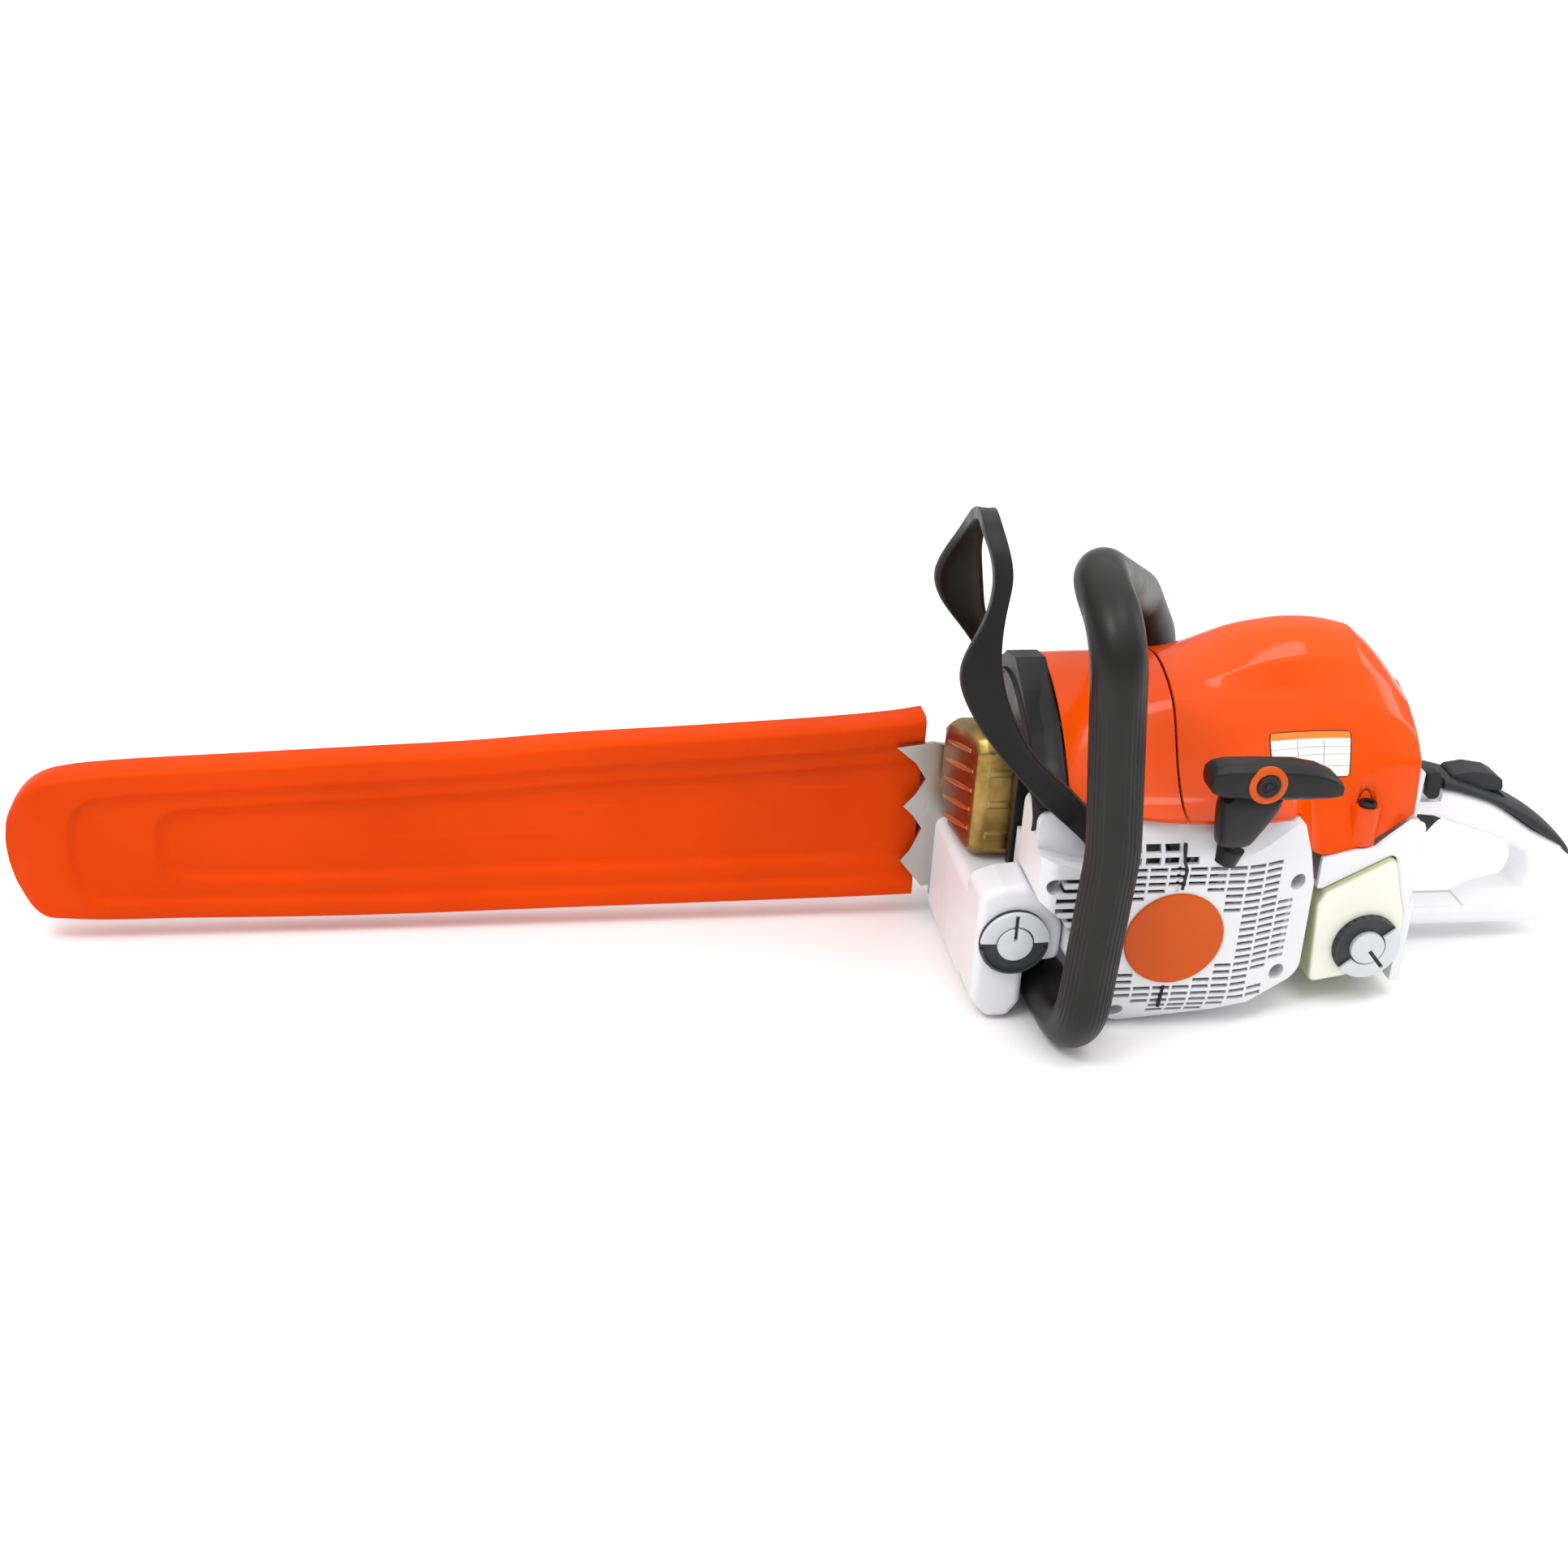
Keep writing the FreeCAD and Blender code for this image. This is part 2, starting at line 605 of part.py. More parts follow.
def handle_grip():
    sleeve = handle_form(HANDLE_GRIP_RADIUS).cut(pipe(HANDLE_ROUTE, HANDLE_BENDS, HANDLE_TUBE_RADIUS))
    return sleeve.cut(box(0, 60, 30, 90, 120, HANDLE_BOSS_TOP + BARE_END))


TANK_OUTLINE = ((102, 14, 5), (98, 70, 4), (102, 78.5, 3), (144, 101.5, 5), (151, 77, 6),
                (157, 59, 6), (156.5, 44, 10), (149, 29, 12), (128, 18.5, 30))
HOUSING_OUTLINE = ((98.2, 79.2, 0), (98.2, 82.5, 0), (102, 82.5, 0), (144, 105.5, 3), (160, 119, 3),
                   (178, 131, 3), (184, 127, 3), (184, 80, 3), (168, 78, 8), (163, 60, 6), (163, 12, 0),
                   (157.2, 12, 0), (157.2, 59.5, 6), (151.2, 77.4, 6), (144.3, 102.1, 4), (101.9, 79.2, 0))
# Outer skin of the housing between the tank and the orange cover.
BAND_OUTLINE = ((98.2, 79.2), (98.2, 100), (116, 104), (131, 106), (138, 112.6), (151, 123.6), (159, 121),
                (159, 112), (144.3, 102.1), (101.9, 79.2))
REAR_HANDLE_OUTLINE = ((182, 115.8, 0), (212, 110, 60), (238, 101.8, 60), (268, 81.3, 40), (293, 68.8, 6),
                       (299, 56, 8), (297, 22, 8), (293, 12, 5), (160, 12, 0), (160, 24, 0), (236, 24, 10),
                       (252, 32, 10), (270, 36, 6), (273, 48, 10), (268, 64, 8), (243, 77, 30), (216, 85.5, 30),
                       (200, 92, 8), (182, 94, 0))
GRIP_COVER_OUTLINE = ((184.2, 115.7, 0), (212, 110.2, 60), (238, 102, 60), (268, 81.5, 40), (293, 69, 6),
                      (303.4, 57, 0), (305, 61.5, 2), (295, 76, 8), (276, 91, 30), (250, 104, 20), (218, 118, 30),
                      (198, 125, 10), (184.2, 127, 3))


def rear_housing():
    """Rear handle frame that carries the tank, the air box and both handles."""
    shell = prism_xz(HOUSING_OUTLINE, -76, 42)
    shell = shell.cut([box(160, 190, -77, -20, 64, 140), box(160, 190, 20, 43, 64, 140)])
    band = prism_xz(BAND_OUTLINE, -76, -73)
    cheek = prism_xz(((99, 14), (99, 89), (104, 91), (145, 111), (160, 118), (163, 60), (163, 14)), 38.3, 42)
    handle = prism_xz(REAR_HANDLE_OUTLINE, -15, 15)
    handle = rounded(handle, 5, lambda e: e.BoundBox.YLength < 0.01 and e.BoundBox.ZMax < 92)
    arm = box(99, 113, 40, 64, 72, 89).fuse([box(99, 113, 46, 64, 72, 130), box(31, 113, 50, 64, 114, 130),
                                             cyl_z(31, 62, 16, 114, 130)])
    body = shell.fuse([band, cheek, handle, arm])
    air_space = prism_xz(((160, 84), (160, 115), (177.5, 126.5), (180, 124), (180, 84)), -16, 16)
    channel = prism_xz(((190, 76), (190, 110), (204, 110), (240, 98), (240, 88), (229, 86), (220, 80)), -6.5, 6.5)
    rod_way = box(176, 192, -6, 6, 94, 104)
    body = body.cut([air_space, channel, rod_way, throttle_rod_form(2.4), trunnion(TRIGGER_PIVOT, 8, 0.05)])
    return body.cut([foot_pad_gap(), lever_well()])


def foot_pad_gap():
    """Shallow relief that leaves a raised tread on the handle's foot plate."""
    return box(200, 236, -10, 10, 23, 25)


def rear_grip_cover():
    body = prism_xz(GRIP_COVER_OUTLINE, -16.5, 16.5)
    slot_cut = prism_xz(((206.5, 100), (206.5, 130), (248, 130), (248, 90)), -9.5, 9.5)
    return body.cut([slot_cut, trunnion(INTERLOCK_PIVOT, 12, 0.05), lever_well()])


def trunnion(pivot, half_length, gap):
    return cyl_y(pivot[0], pivot[1], 2.5 + gap, -half_length, half_length)


def throttle_trigger():
    body = prism_xz(((194, 73, 2), (200, 75, 8), (208, 86, 8), (224, 90, 3), (224, 98, 4), (200, 104, 4),
                     (195, 98, 3), (192.5, 84, 10)), -5, 5)
    return body.fuse(trunnion(TRIGGER_PIVOT, 8, 0))


def trigger_interlock():
    body = prism_xz(((208.5, 110.8, 2), (208.5, 119.5, 4), (222, 121.5, 8), (236, 119, 5), (243, 115.5, 3),
                     (245, 107.5, 2), (230, 108.8, 6), (216, 110.8, 4)), -9, 9)
    return body.fuse(trunnion(INTERLOCK_PIVOT, 12, 0))


def lever_well():
    return box(184, 201, -17, -12, 104, 130)


def control_lever():
    pivot = cyl_y(192, 112, 3, -14, -12.2)
    paddle = prism_xz(((188, 108, 3), (188, 117, 3), (186.5, 125, 2), (194, 127, 2), (196.5, 117, 3),
                       (196.5, 108, 3)), -19, -14)
    return pivot.fuse(paddle)


def throttle_rod_form(radius):
    route = ((193, 0, 99), (176, 0, 99), (160, -12, 110), (138, -42, 121), (98, -42, 122), (86.5, -29, 128))
    return pipe(route, (6, 8, 12, 12), radius)


def throttle_rod():
    return throttle_rod_form(1.0)


def handle_buffers():
    return group(buffers())


# ---- tanks and caps -----------------------------------------------------------------------


def fuel_tank():
    body = prism_xz(TANK_OUTLINE, TANK_FACE_Y, 38)
    body = rounded(body, 3, lambda e: abs(e.BoundBox.YMax - TANK_FACE_Y) < 0.01)
    space = inset_prism_xz(TANK_OUTLINE, 2.5, TANK_FACE_Y + 2.5, 35.5)
    neck = ring_y(*FUEL_CAP, 15, 12, -81, -60)
    neck = neck.common(prism_xz(TANK_OUTLINE, TANK_FACE_Y, 38))
    return body.cut(space).fuse(neck).cut(cyl_y(*FUEL_CAP, 12, -90, -76))


def cap_body(x, z, face_y):
    """Screw cap: head on the tank face, plug in the neck and a raised hub for the folding bail."""
    head = cyl_y(x, z, CAP_RADIUS, face_y - 5, face_y)
    head = rounded(head, 1.5, lambda e: abs(e.BoundBox.YMax - face_y + 5) < 0.01)
    plug = cyl_y(x, z, 12 - RUNNING_GAP, face_y, face_y + 5)
    well = ring_y(x, z, 18.5, 11, face_y - 6, face_y - 2)
    return head.fuse(plug).cut(well)


def cap_bail(x, z, face_y, turn):
    """Half-ring handle in the cap's well; it swings out about its two pins.  turn sets it round the cap."""
    ring = ring_y(x, z, 18.2, 11.4, face_y - 5, face_y - 2.2)
    half = ring.common(box(x - 20, x + 20, face_y - 6, face_y, z + 0.4, z + 20))
    pin_y = face_y - BAIL_PIN_DEPTH
    pins = [rod(vec(x + side * 11.6, pin_y, z), vec(x + side * 17.9, pin_y, z), BAIL_PIN_RADIUS)
            for side in (-1, 1)]
    bail = half.fuse(pins)
    bail.rotate(vec(x, face_y, z), vec(0, -1, 0), turn)
    return bail


def fuel_cap():
    return cap_body(*FUEL_CAP, TANK_FACE_Y)


def oil_cap():
    return cap_body(*OIL_CAP, OIL_FACE_Y)


# ---- covers -------------------------------------------------------------------------------
COVER_SKIN = 2.2
# Cross-sections (y, z) of the orange covers, from the lower left edge over the top to the right.
SHROUD_SECTIONS = (
    (-65, ((-88, 142), (-78, 153), (-54, 177), (-31, 192), (-8, 204), (13, 201), (32, 186), (42, 162), (43, 137))),
    (-1, ((-87, 141), (-72, 163), (-57, 192), (-40, 201), (-15, 208), (13, 201), (33, 186), (42, 162), (43, 137))),
)
FILTER_SECTIONS = (
    (0, ((-87, 141), (-72, 163), (-57, 192), (-40, 202), (-15, 210), (13, 203), (33, 188), (42, 162), (43, 137))),
    (32, ((-88, 140), (-65, 163), (-50, 191), (-36, 206), (-15, 222), (10, 219), (31, 200), (42, 165), (43, 130))),
    (66, ((-86, 138), (-56, 163), (-43, 190), (-32, 208), (-15, 225), (10, 223), (30, 203), (42, 168), (43, 122))),
    (75.5, ((-83, 137.6), (-59, 161), (-43, 190), (-32, 209), (-15, 226), (10, 224), (29, 204), (42, 168),
            (43, 112))),
    (84.5, ((-78.5, 114.5), (-58.5, 160), (-43, 191), (-32, 210), (-15, 226), (10, 224), (29, 204), (42, 168),
            (43, 104))),
    (91.5, ((-75.5, 101.2), (-58, 159), (-43, 191), (-32, 210), (-15, 226), (10, 224), (29, 204), (42, 168),
            (43, 101))),
    (104, ((-75, 102), (-58, 159), (-43, 192), (-31, 210), (-15, 226), (10, 224), (28, 204), (42, 168), (43, 102))),
    (131, ((-73, 106.8), (-58, 160), (-46, 188), (-29, 203), (-13, 217), (9, 216), (26, 199), (41, 163), (43, 107))),
    (150, ((-68, 123.6), (-63, 158), (-47, 182), (-30, 193), (-12, 199.5), (9, 198), (25, 186), (39, 160),
           (42, 114))),
    (157, ((-64.5, 122.4), (-60, 155), (-46, 171), (-30, 181), (-12, 186.5), (9, 185), (24, 175), (37, 153),
           (41, 119))),
)


def section_points(x, outline):
    return [vec(x, y, z) for y, z in outline]


def inner_outline(outline):
    """Section moved inward by the skin thickness and carried down below the lower edge."""
    middle_y = -20.0
    middle_z = 120.0
    points = []
    for y, z in outline:
        reach = math.hypot(y - middle_y, z - middle_z)
        scale = (reach - COVER_SKIN * 1.25) / reach
        points.append((middle_y + (y - middle_y) * scale, middle_z + (z - middle_z) * scale))
    first = (points[0][0], outline[0][1] - 12)
    last = (points[-1][0], outline[-1][1] - 12)
    points[0] = first
    points[-1] = last
    return points


def hollow_cover(sections, front_wall, rear_wall):
    """Thin cover through its sections, open below, with an optional wall at each end."""
    outer = skin([section_points(x, outline) for x, outline in sections])
    inner_sections = [[x, outline] for x, outline in sections]
    inner_sections[0][0] += front_wall
    inner_sections[-1][0] -= rear_wall
    inner = skin([section_points(x, inner_outline(outline)) for x, outline in inner_sections])
    return outer.cut(inner)


def shroud():
    return hollow_cover(SHROUD_SECTIONS, -1, -1)


def filter_cover():
    return hollow_cover(FILTER_SECTIONS, -1, COVER_SKIN)


def front_baffle():
    """Black collar between shroud and muffler, with a wall beside and above the muffler."""
    outline = SHROUD_SECTIONS[0][1]
    lowered = [(y + 1.5, z - 1.5) if y < 0 else (y - 1.5, z - 1.5) for y, z in outline]
    lowered[0] = (-86, 142.5)
    lowered[-1] = (41.5, 96)
    outer = prism_yz(lowered + [(-40, 78), (-40, 142.5)], -84, -65.5)
    inner = prism_yz(inner_outline(lowered) + [(-37.5, 60), (-37.5, 144)], -81.5, -64)
    window = box(-90, -60, -32, 37, 60, 158)
    return outer.cut([inner, window])


# ---- muffler ------------------------------------------------------------------------------
MUFFLER_PLAN = ((-75.5, -28, 0), (-106, -28, 4), (-110, -24, 4), (-115.5, 28, 4), (-111.5, 31.5, 3),
                (-75.5, 31.5, 0))
MUFFLER_Z = (79.0, 157.0)
MUFFLER_SKIN = 1.3


def muffler_front_shell():
    """Deep-drawn half shell; its far side is sloped above and below."""
    low_wedge = prism_yz(((36, 78), (12, 78), (36, 100)), -130, -72)
    top_wedge = prism_yz(((-12, 157.5), (36, 148), (36, 170), (-12, 170)), -130, -72)
    outer = prism_xy(MUFFLER_PLAN, *MUFFLER_Z).cut([low_wedge, top_wedge])
    inner_plan = ((-75, -26.7), (-105.4, -26.7), (-108.6, -23.3), (-114, 27.7), (-111, 30.2), (-75, 30.2))
    inner = prism_xy(inner_plan, MUFFLER_Z[0] + MUFFLER_SKIN, MUFFLER_Z[1] - MUFFLER_SKIN)
    low_wedge.translate(vec(0, -1.2, 1.2))
    top_wedge.translate(vec(0, 0, -MUFFLER_SKIN))
    return outer.cut(inner.cut([low_wedge, top_wedge]))


def muffler_rear_shell():
    flange = box(-75.5, -74, -31, 32.8, 77, 159)
    can = box(-74, -52, -25, 30, 80, 150)
    space = box(-77, -53.5, -23.5, 28.5, 81.5, 148.5)
    port = cyl_x(0, 133, 9, -54, -50)
    return flange.fuse(can).cut([space, port])


# ---- bar, chain and scabbard --------------------------------------------------------------


def loop_face(extra, tail_x, tail_radius, y0):
    """Racetrack outline of bar or chain: gently bellied sides, round nose and round tail."""
    def at(x, z):
        return vec(x, y0, z)
    top = CRANK_Z + tail_radius + extra
    low = CRANK_Z - tail_radius - extra
    join_x = -110.0
    belly_x = -340.0
    join = 30.3 + extra
    belly = BAR_HALF_HEIGHT + extra
    nose = NOSE_RADIUS + extra
    edges = [Part.LineSegment(at(tail_x, top), at(join_x, CRANK_Z + join)).toShape(),
             Part.Arc(at(join_x, CRANK_Z + join), at(belly_x, CRANK_Z + belly),
                      at(NOSE_X, CRANK_Z + nose)).toShape(),
             Part.Arc(at(NOSE_X, CRANK_Z + nose), at(NOSE_X - nose, CRANK_Z), at(NOSE_X, CRANK_Z - nose)).toShape(),
             Part.Arc(at(NOSE_X, CRANK_Z - nose), at(belly_x, CRANK_Z - belly),
                      at(join_x, CRANK_Z - join)).toShape(),
             Part.LineSegment(at(join_x, CRANK_Z - join), at(tail_x, low)).toShape(),
             Part.Arc(at(tail_x, low), at(tail_x + tail_radius + extra, CRANK_Z), at(tail_x, top)).toShape()]
    return Part.Face(Part.Wire(edges))


def bar_blank():
    y0 = BAR_PLANE_Y - BAR_THICKNESS / 2
    return loop_face(0, -60, BAR_TAIL_X + 60, y0).extrude(vec(0, BAR_THICKNESS, 0))


def guide_bar():
    slot_cut = prism_xz(((-92, CRANK_Z - 4.2, 4.1), (-92, CRANK_Z + 4.2, 4.1), (-49, CRANK_Z + 4.2, 4.1),
                         (-49, CRANK_Z - 4.2, 4.1)), 40, 60)
    pin_hole = cyl_y(-67, TENSION_Z, 3.05, 40, 60)
    nose_slot = cyl_y(NOSE_X, CRANK_Z, 19.0, BAR_PLANE_Y - 0.8, BAR_PLANE_Y + 0.8)
    mouth = box(NOSE_X - 30, NOSE_X, BAR_PLANE_Y - 0.8, BAR_PLANE_Y + 0.8, CRANK_Z - 19, CRANK_Z + 19)
    body = bar_blank().cut([slot_cut, pin_hole, nose_slot, mouth])
    return body.fuse(cyl_y(NOSE_X, CRANK_Z, 4, BAR_PLANE_Y - 2, BAR_PLANE_Y + 2))


def nose_sprocket():
    """Star wheel with eleven points that carries the chain round the bar nose."""
    points = []
    for index in range(22):
        radius = 18.6 if index % 2 == 0 else 13.5
        angle = math.radians(360 / 22 * index)
        points.append((NOSE_X + radius * math.cos(angle), CRANK_Z + radius * math.sin(angle)))
    star = prism_xz(points, BAR_PLANE_Y - 0.7, BAR_PLANE_Y + 0.7)
    return star.cut(cyl_y(NOSE_X, CRANK_Z, 4 + RUNNING_GAP, 40, 60))


def saw_chain():
    y0 = BAR_PLANE_Y - CHAIN_WIDTH / 2
    gap = 0.1
    outer = loop_face(CHAIN_HEIGHT, 0, CHAIN_INNER_RADIUS, y0)
    inner = loop_face(gap, 0, CHAIN_INNER_RADIUS, y0 - 1)
    return outer.extrude(vec(0, CHAIN_WIDTH, 0)).cut(inner.extrude(vec(0, CHAIN_WIDTH + 2, 0)))


SCABBARD_OUTLINE = ((-678, 66, 18), (-664, 103, 10), (-640, 111.5, 24), (-546, 117.5, 200), (-402, 124, 300),
                    (-260, 132, 300), (-160, 138, 60), (-122, 143, 2), (-122, 14, 2), (-188, 13, 60),
                    (-293, 11, 100), (-660, 12, 12), (-676, 40, 20))


def bar_scabbard():
    outer = prism_xz(SCABBARD_OUTLINE, *SCABBARD_Y)
    outer = rounded(outer, 3, lambda e: e.BoundBox.YLength < 0.01 and e.BoundBox.XMax < -123)
    inner = inset_prism_xz(SCABBARD_OUTLINE, SCABBARD_WALL, SCABBARD_Y[0] + SCABBARD_WALL,
                           SCABBARD_Y[1] - SCABBARD_WALL)
    mouth = box(-126, -120, SCABBARD_Y[0] + SCABBARD_WALL, SCABBARD_Y[1] - SCABBARD_WALL, 16.5, 140)
    return outer.cut([inner, mouth])


def stud_solids():
    return [cyl_y(x, CRANK_Z, STUD_RADIUS, 30, 84) for x in STUD_X]


def hexagon(x, z, radius, y0, y1):
    points = [(x + radius * math.cos(math.radians(60 * i)), z + radius * math.sin(math.radians(60 * i)))
              for i in range(6)]
    return prism_xz(points, y0, y1)


def bar_nuts():
    nuts = [hexagon(x, CRANK_Z, 8, 72, 82).fuse(cyl_y(x, CRANK_Z, 9.5, 70, 72)) for x in STUD_X]
    return group([nut.cut(group(stud_solids())) for nut in nuts])


SPROCKET_OUTLINE = ((-110, 26, 10), (-110, 104, 12), (-40, 110, 20), (46, 112, 40), (46, 20, 40))


def sprocket_cover():
    """Cover that clamps the bar and houses clutch, sprocket and brake band."""
    top = prism_xz(SPROCKET_OUTLINE, 54.5, 86)
    top = rounded(top, 4, lambda e: e.BoundBox.YLength < 0.01 and e.BoundBox.YMin > 85)
    rim = prism_xz(SPROCKET_OUTLINE, 37, 54.5).cut(box(-120, -36, 30, 60, 0, 130))
    rim = rim.cut(box(-120, 20, 30, 60, 0, 40))
    space = inset_prism_xz(SPROCKET_OUTLINE, 2.6, 30, 83.4)
    body = top.fuse(rim).cut(space)
    clamp = prism_xz(((-98, 44, 5), (-98, 88, 5), (-43, 88, 5), (-43, 44, 5)), 52, 84)
    pockets = [cyl_y(x, CRANK_Z, 11.5, 70, 90) for x in STUD_X]
    holes = [cyl_y(x, CRANK_Z, STUD_RADIUS + 0.2, 50, 75) for x in STUD_X]
    core = box(-95, -46, 55, 69, 48, 84).cut([cyl_y(x, CRANK_Z, 7, 50, 75) for x in STUD_X])
    relief = cyl_y(0, CRANK_Z, 40.2, 54, 83)
    return body.fuse(clamp.cut(core).cut(relief)).cut(pockets + holes)


def bumper_spike():
    outline = ((-100.5, 28), (-118, 26), (-126, 36), (-133, 45), (-127, 53), (-121, 68), (-127, 77), (-134, 84),
               (-127, 92), (-121, 103), (-128, 114), (-141, 125), (-118, 128), (-102, 125, 3), (-100.5, 110))
    return prism_xz(outline, CASE_RIGHT_Y, CASE_RIGHT_Y + 3).cut(all_screws())


def chain_catcher():
    return prism_xz(((-108, 8, 3), (-108, 21, 4), (-90, 21, 4), (-90, 8, 3)), CASE_RIGHT_Y, 52)


def tensioner_screw():
    head = cyl_x(TENSION_Y, TENSION_Z, 5, -104, -100.2)
    shank = cyl_x(TENSION_Y, TENSION_Z, 2.5, -100.2, -56)
    slot_cut = box(-105, -102.5, TENSION_Y - 0.8, TENSION_Y + 0.8, TENSION_Z - 6, TENSION_Z + 6)
    return head.fuse(shank).cut(slot_cut)


def tensioner_pin():
    """Sliding nut on the tensioner screw whose pin sits in the guide bar."""
    nut = box(-71, -63, 38, 46, TENSION_Z - 4.5, TENSION_Z + 4.5)
    pin = cyl_y(-67, TENSION_Z, 3, 46, 51)
    return nut.fuse(pin).cut(cyl_x(TENSION_Y, TENSION_Z, 2.5 + RUNNING_GAP, -80, -50))


# ---- clutch and drive ---------------------------------------------------------------------


def clutch_drum():
    cup = cyl_y(0, CRANK_Z, 38, 56, 76).cut(cyl_y(0, CRANK_Z, 35.5, 58, 77))
    hub = cyl_y(0, CRANK_Z, 12, 45.2, 56)
    return cup.fuse(hub).cut(cyl_y(0, CRANK_Z, 7.5 + RUNNING_GAP, 40, 60))


def rim_sprocket():
    points = []
    for index in range(14):
        radius = SPROCKET_RADIUS if index % 2 == 0 else 16.5
        angle = math.radians(360 / 14 * index)
        points.append((radius * math.cos(angle), CRANK_Z + radius * math.sin(angle)))
    star = prism_xz(points, 48.5, 51.5)
    discs = cyl_y(0, CRANK_Z, 17.5, 45.5, 48.5).fuse(cyl_y(0, CRANK_Z, 17.5, 51.5, 54.5))
    return star.fuse(discs).cut(cyl_y(0, CRANK_Z, 12, 40, 60))


def clutch():
    """Centre hub and three centrifugal shoes."""
    hub = cyl_y(0, CRANK_Z, 15, 60, 74).cut(cyl_y(0, CRANK_Z, 6.5, 50, 80))
    shoes = []
    for index in range(3):
        shoe = ring_y(0, 0, 34, 17, 61, 73).common(box(-40, 40, 60, 74, 4, 40))
        shoe = shoe.cut(box(-40, -30, 60, 74, 0, 9)).cut(box(30, 40, 60, 74, 0, 9))
        wedge = skin([[vec(0, 60, 3), vec(-60, 60, 40), vec(0, 60, 80), vec(60, 60, 40)],
                      [vec(0, 74, 3), vec(-60, 74, 40), vec(0, 74, 80), vec(60, 74, 40)]])
        shoe = shoe.common(wedge)
        shoe.rotate(vec(0, 0, 0), vec(0, 1, 0), 120 * index)
        shoe.translate(vec(0, 0, CRANK_Z))
        shoes.append(shoe)
    return group([hub] + shoes)


def brake_band():
    band = ring_y(0, CRANK_Z, 39.8, 38.6, 61, 71)
    return band.cut(box(-45, -20, 55, 80, CRANK_Z - 4, CRANK_Z + 4))


def oil_pump():
    body = cyl_y(0, CRANK_Z, 18, CASE_RIGHT_Y, 43).fuse(box(-10, 10, CASE_RIGHT_Y, 43, CRANK_Z - 30, CRANK_Z - 10))
    return body.cut(cyl_y(0, CRANK_Z, 9.2, 30, 50))


# ---- hand guard ---------------------------------------------------------------------------
# Sections: front corner (x, z), rear corner (x, z), y, and the outward half thickness (y, z).
GUARD_SECTIONS = (
    ((-50, 114), (-37, 124), -95, (-4.5, 0)),
    ((-58, 126), (-44, 137), -95, (-4.5, 0)),
    ((-70, 137), (-58, 147), -95.5, (-4.5, 0)),
    ((-86, 151), (-72, 163), -95.5, (-4.5, 0)),
    ((-108, 174), (-91, 177), -91, (-4.5, 0)),
    ((-126, 196), (-104, 198), -86, (-4.5, 0)),
    ((-138, 219), (-111, 217), -81, (-4.3, 0.8)),
    ((-135, 234), (-114, 234), -77, (-4.3, 1.2)),
    ((-123, 251), (-112, 258), -72, (-4.2, 1.2)),
    ((-118.5, 271), (-108, 274), -69, (-4.2, 1)),
    ((-120.5, 287), (-110, 287), -64, (-4, 1.8)),
    ((-124, 297), (-113, 297), -55, (-2.8, 3.2)),
    ((-123, 301), (-112.5, 301), -40, (-1, 4.3)),
    ((-118, 295.5), (-107, 294.5), -15, (1, 4.3)),
    ((-113.5, 284), (-102.5, 282.5), 15, (2, 3.9)),
    ((-112, 268), (-99, 266), 36, (3.3, 2.9)),
    ((-115.5, 256), (-97, 253), 45, (4.1, 1.6)),
    ((-121.5, 243), (-94, 240), 50, (4.4, 0.8)),
    ((-124, 229), (-91, 224), 53, (4.5, 0)),
    ((-115, 211), (-88, 208), 56, (4.5, 0)),
    ((-99, 194), (-81, 191), 58, (4.5, 0)),
    ((-80, 165), (-64, 160), 55, (4.5, 0)),
    ((-60, 136), (-44, 140), 51, (4.5, 0)),
    ((-55, 116), (-39, 118), 51, (4.5, 0)),
)


def hand_guard():
    stations = []
    for front, rear, y, (out_y, out_z) in GUARD_SECTIONS:
        stations.append([vec(front[0], y + out_y, front[1] + out_z), vec(rear[0], y + out_y, rear[1] + out_z),
                         vec(rear[0], y - out_y, rear[1] - out_z), vec(front[0], y - out_y, front[1] - out_z)])
    body = skin(stations)
    hubs = [cyl_y(GUARD_PIVOT_X, GUARD_PIVOT_Z, 9, -99.5, -90.5), cyl_y(GUARD_PIVOT_X, GUARD_PIVOT_Z, 9, 46.5, 55.5)]
    body = body.fuse(hubs)
    return body.cut([cyl_y(GUARD_PIVOT_X, GUARD_PIVOT_Z, SCREW_SHANK + RUNNING_GAP, -110, 70)])


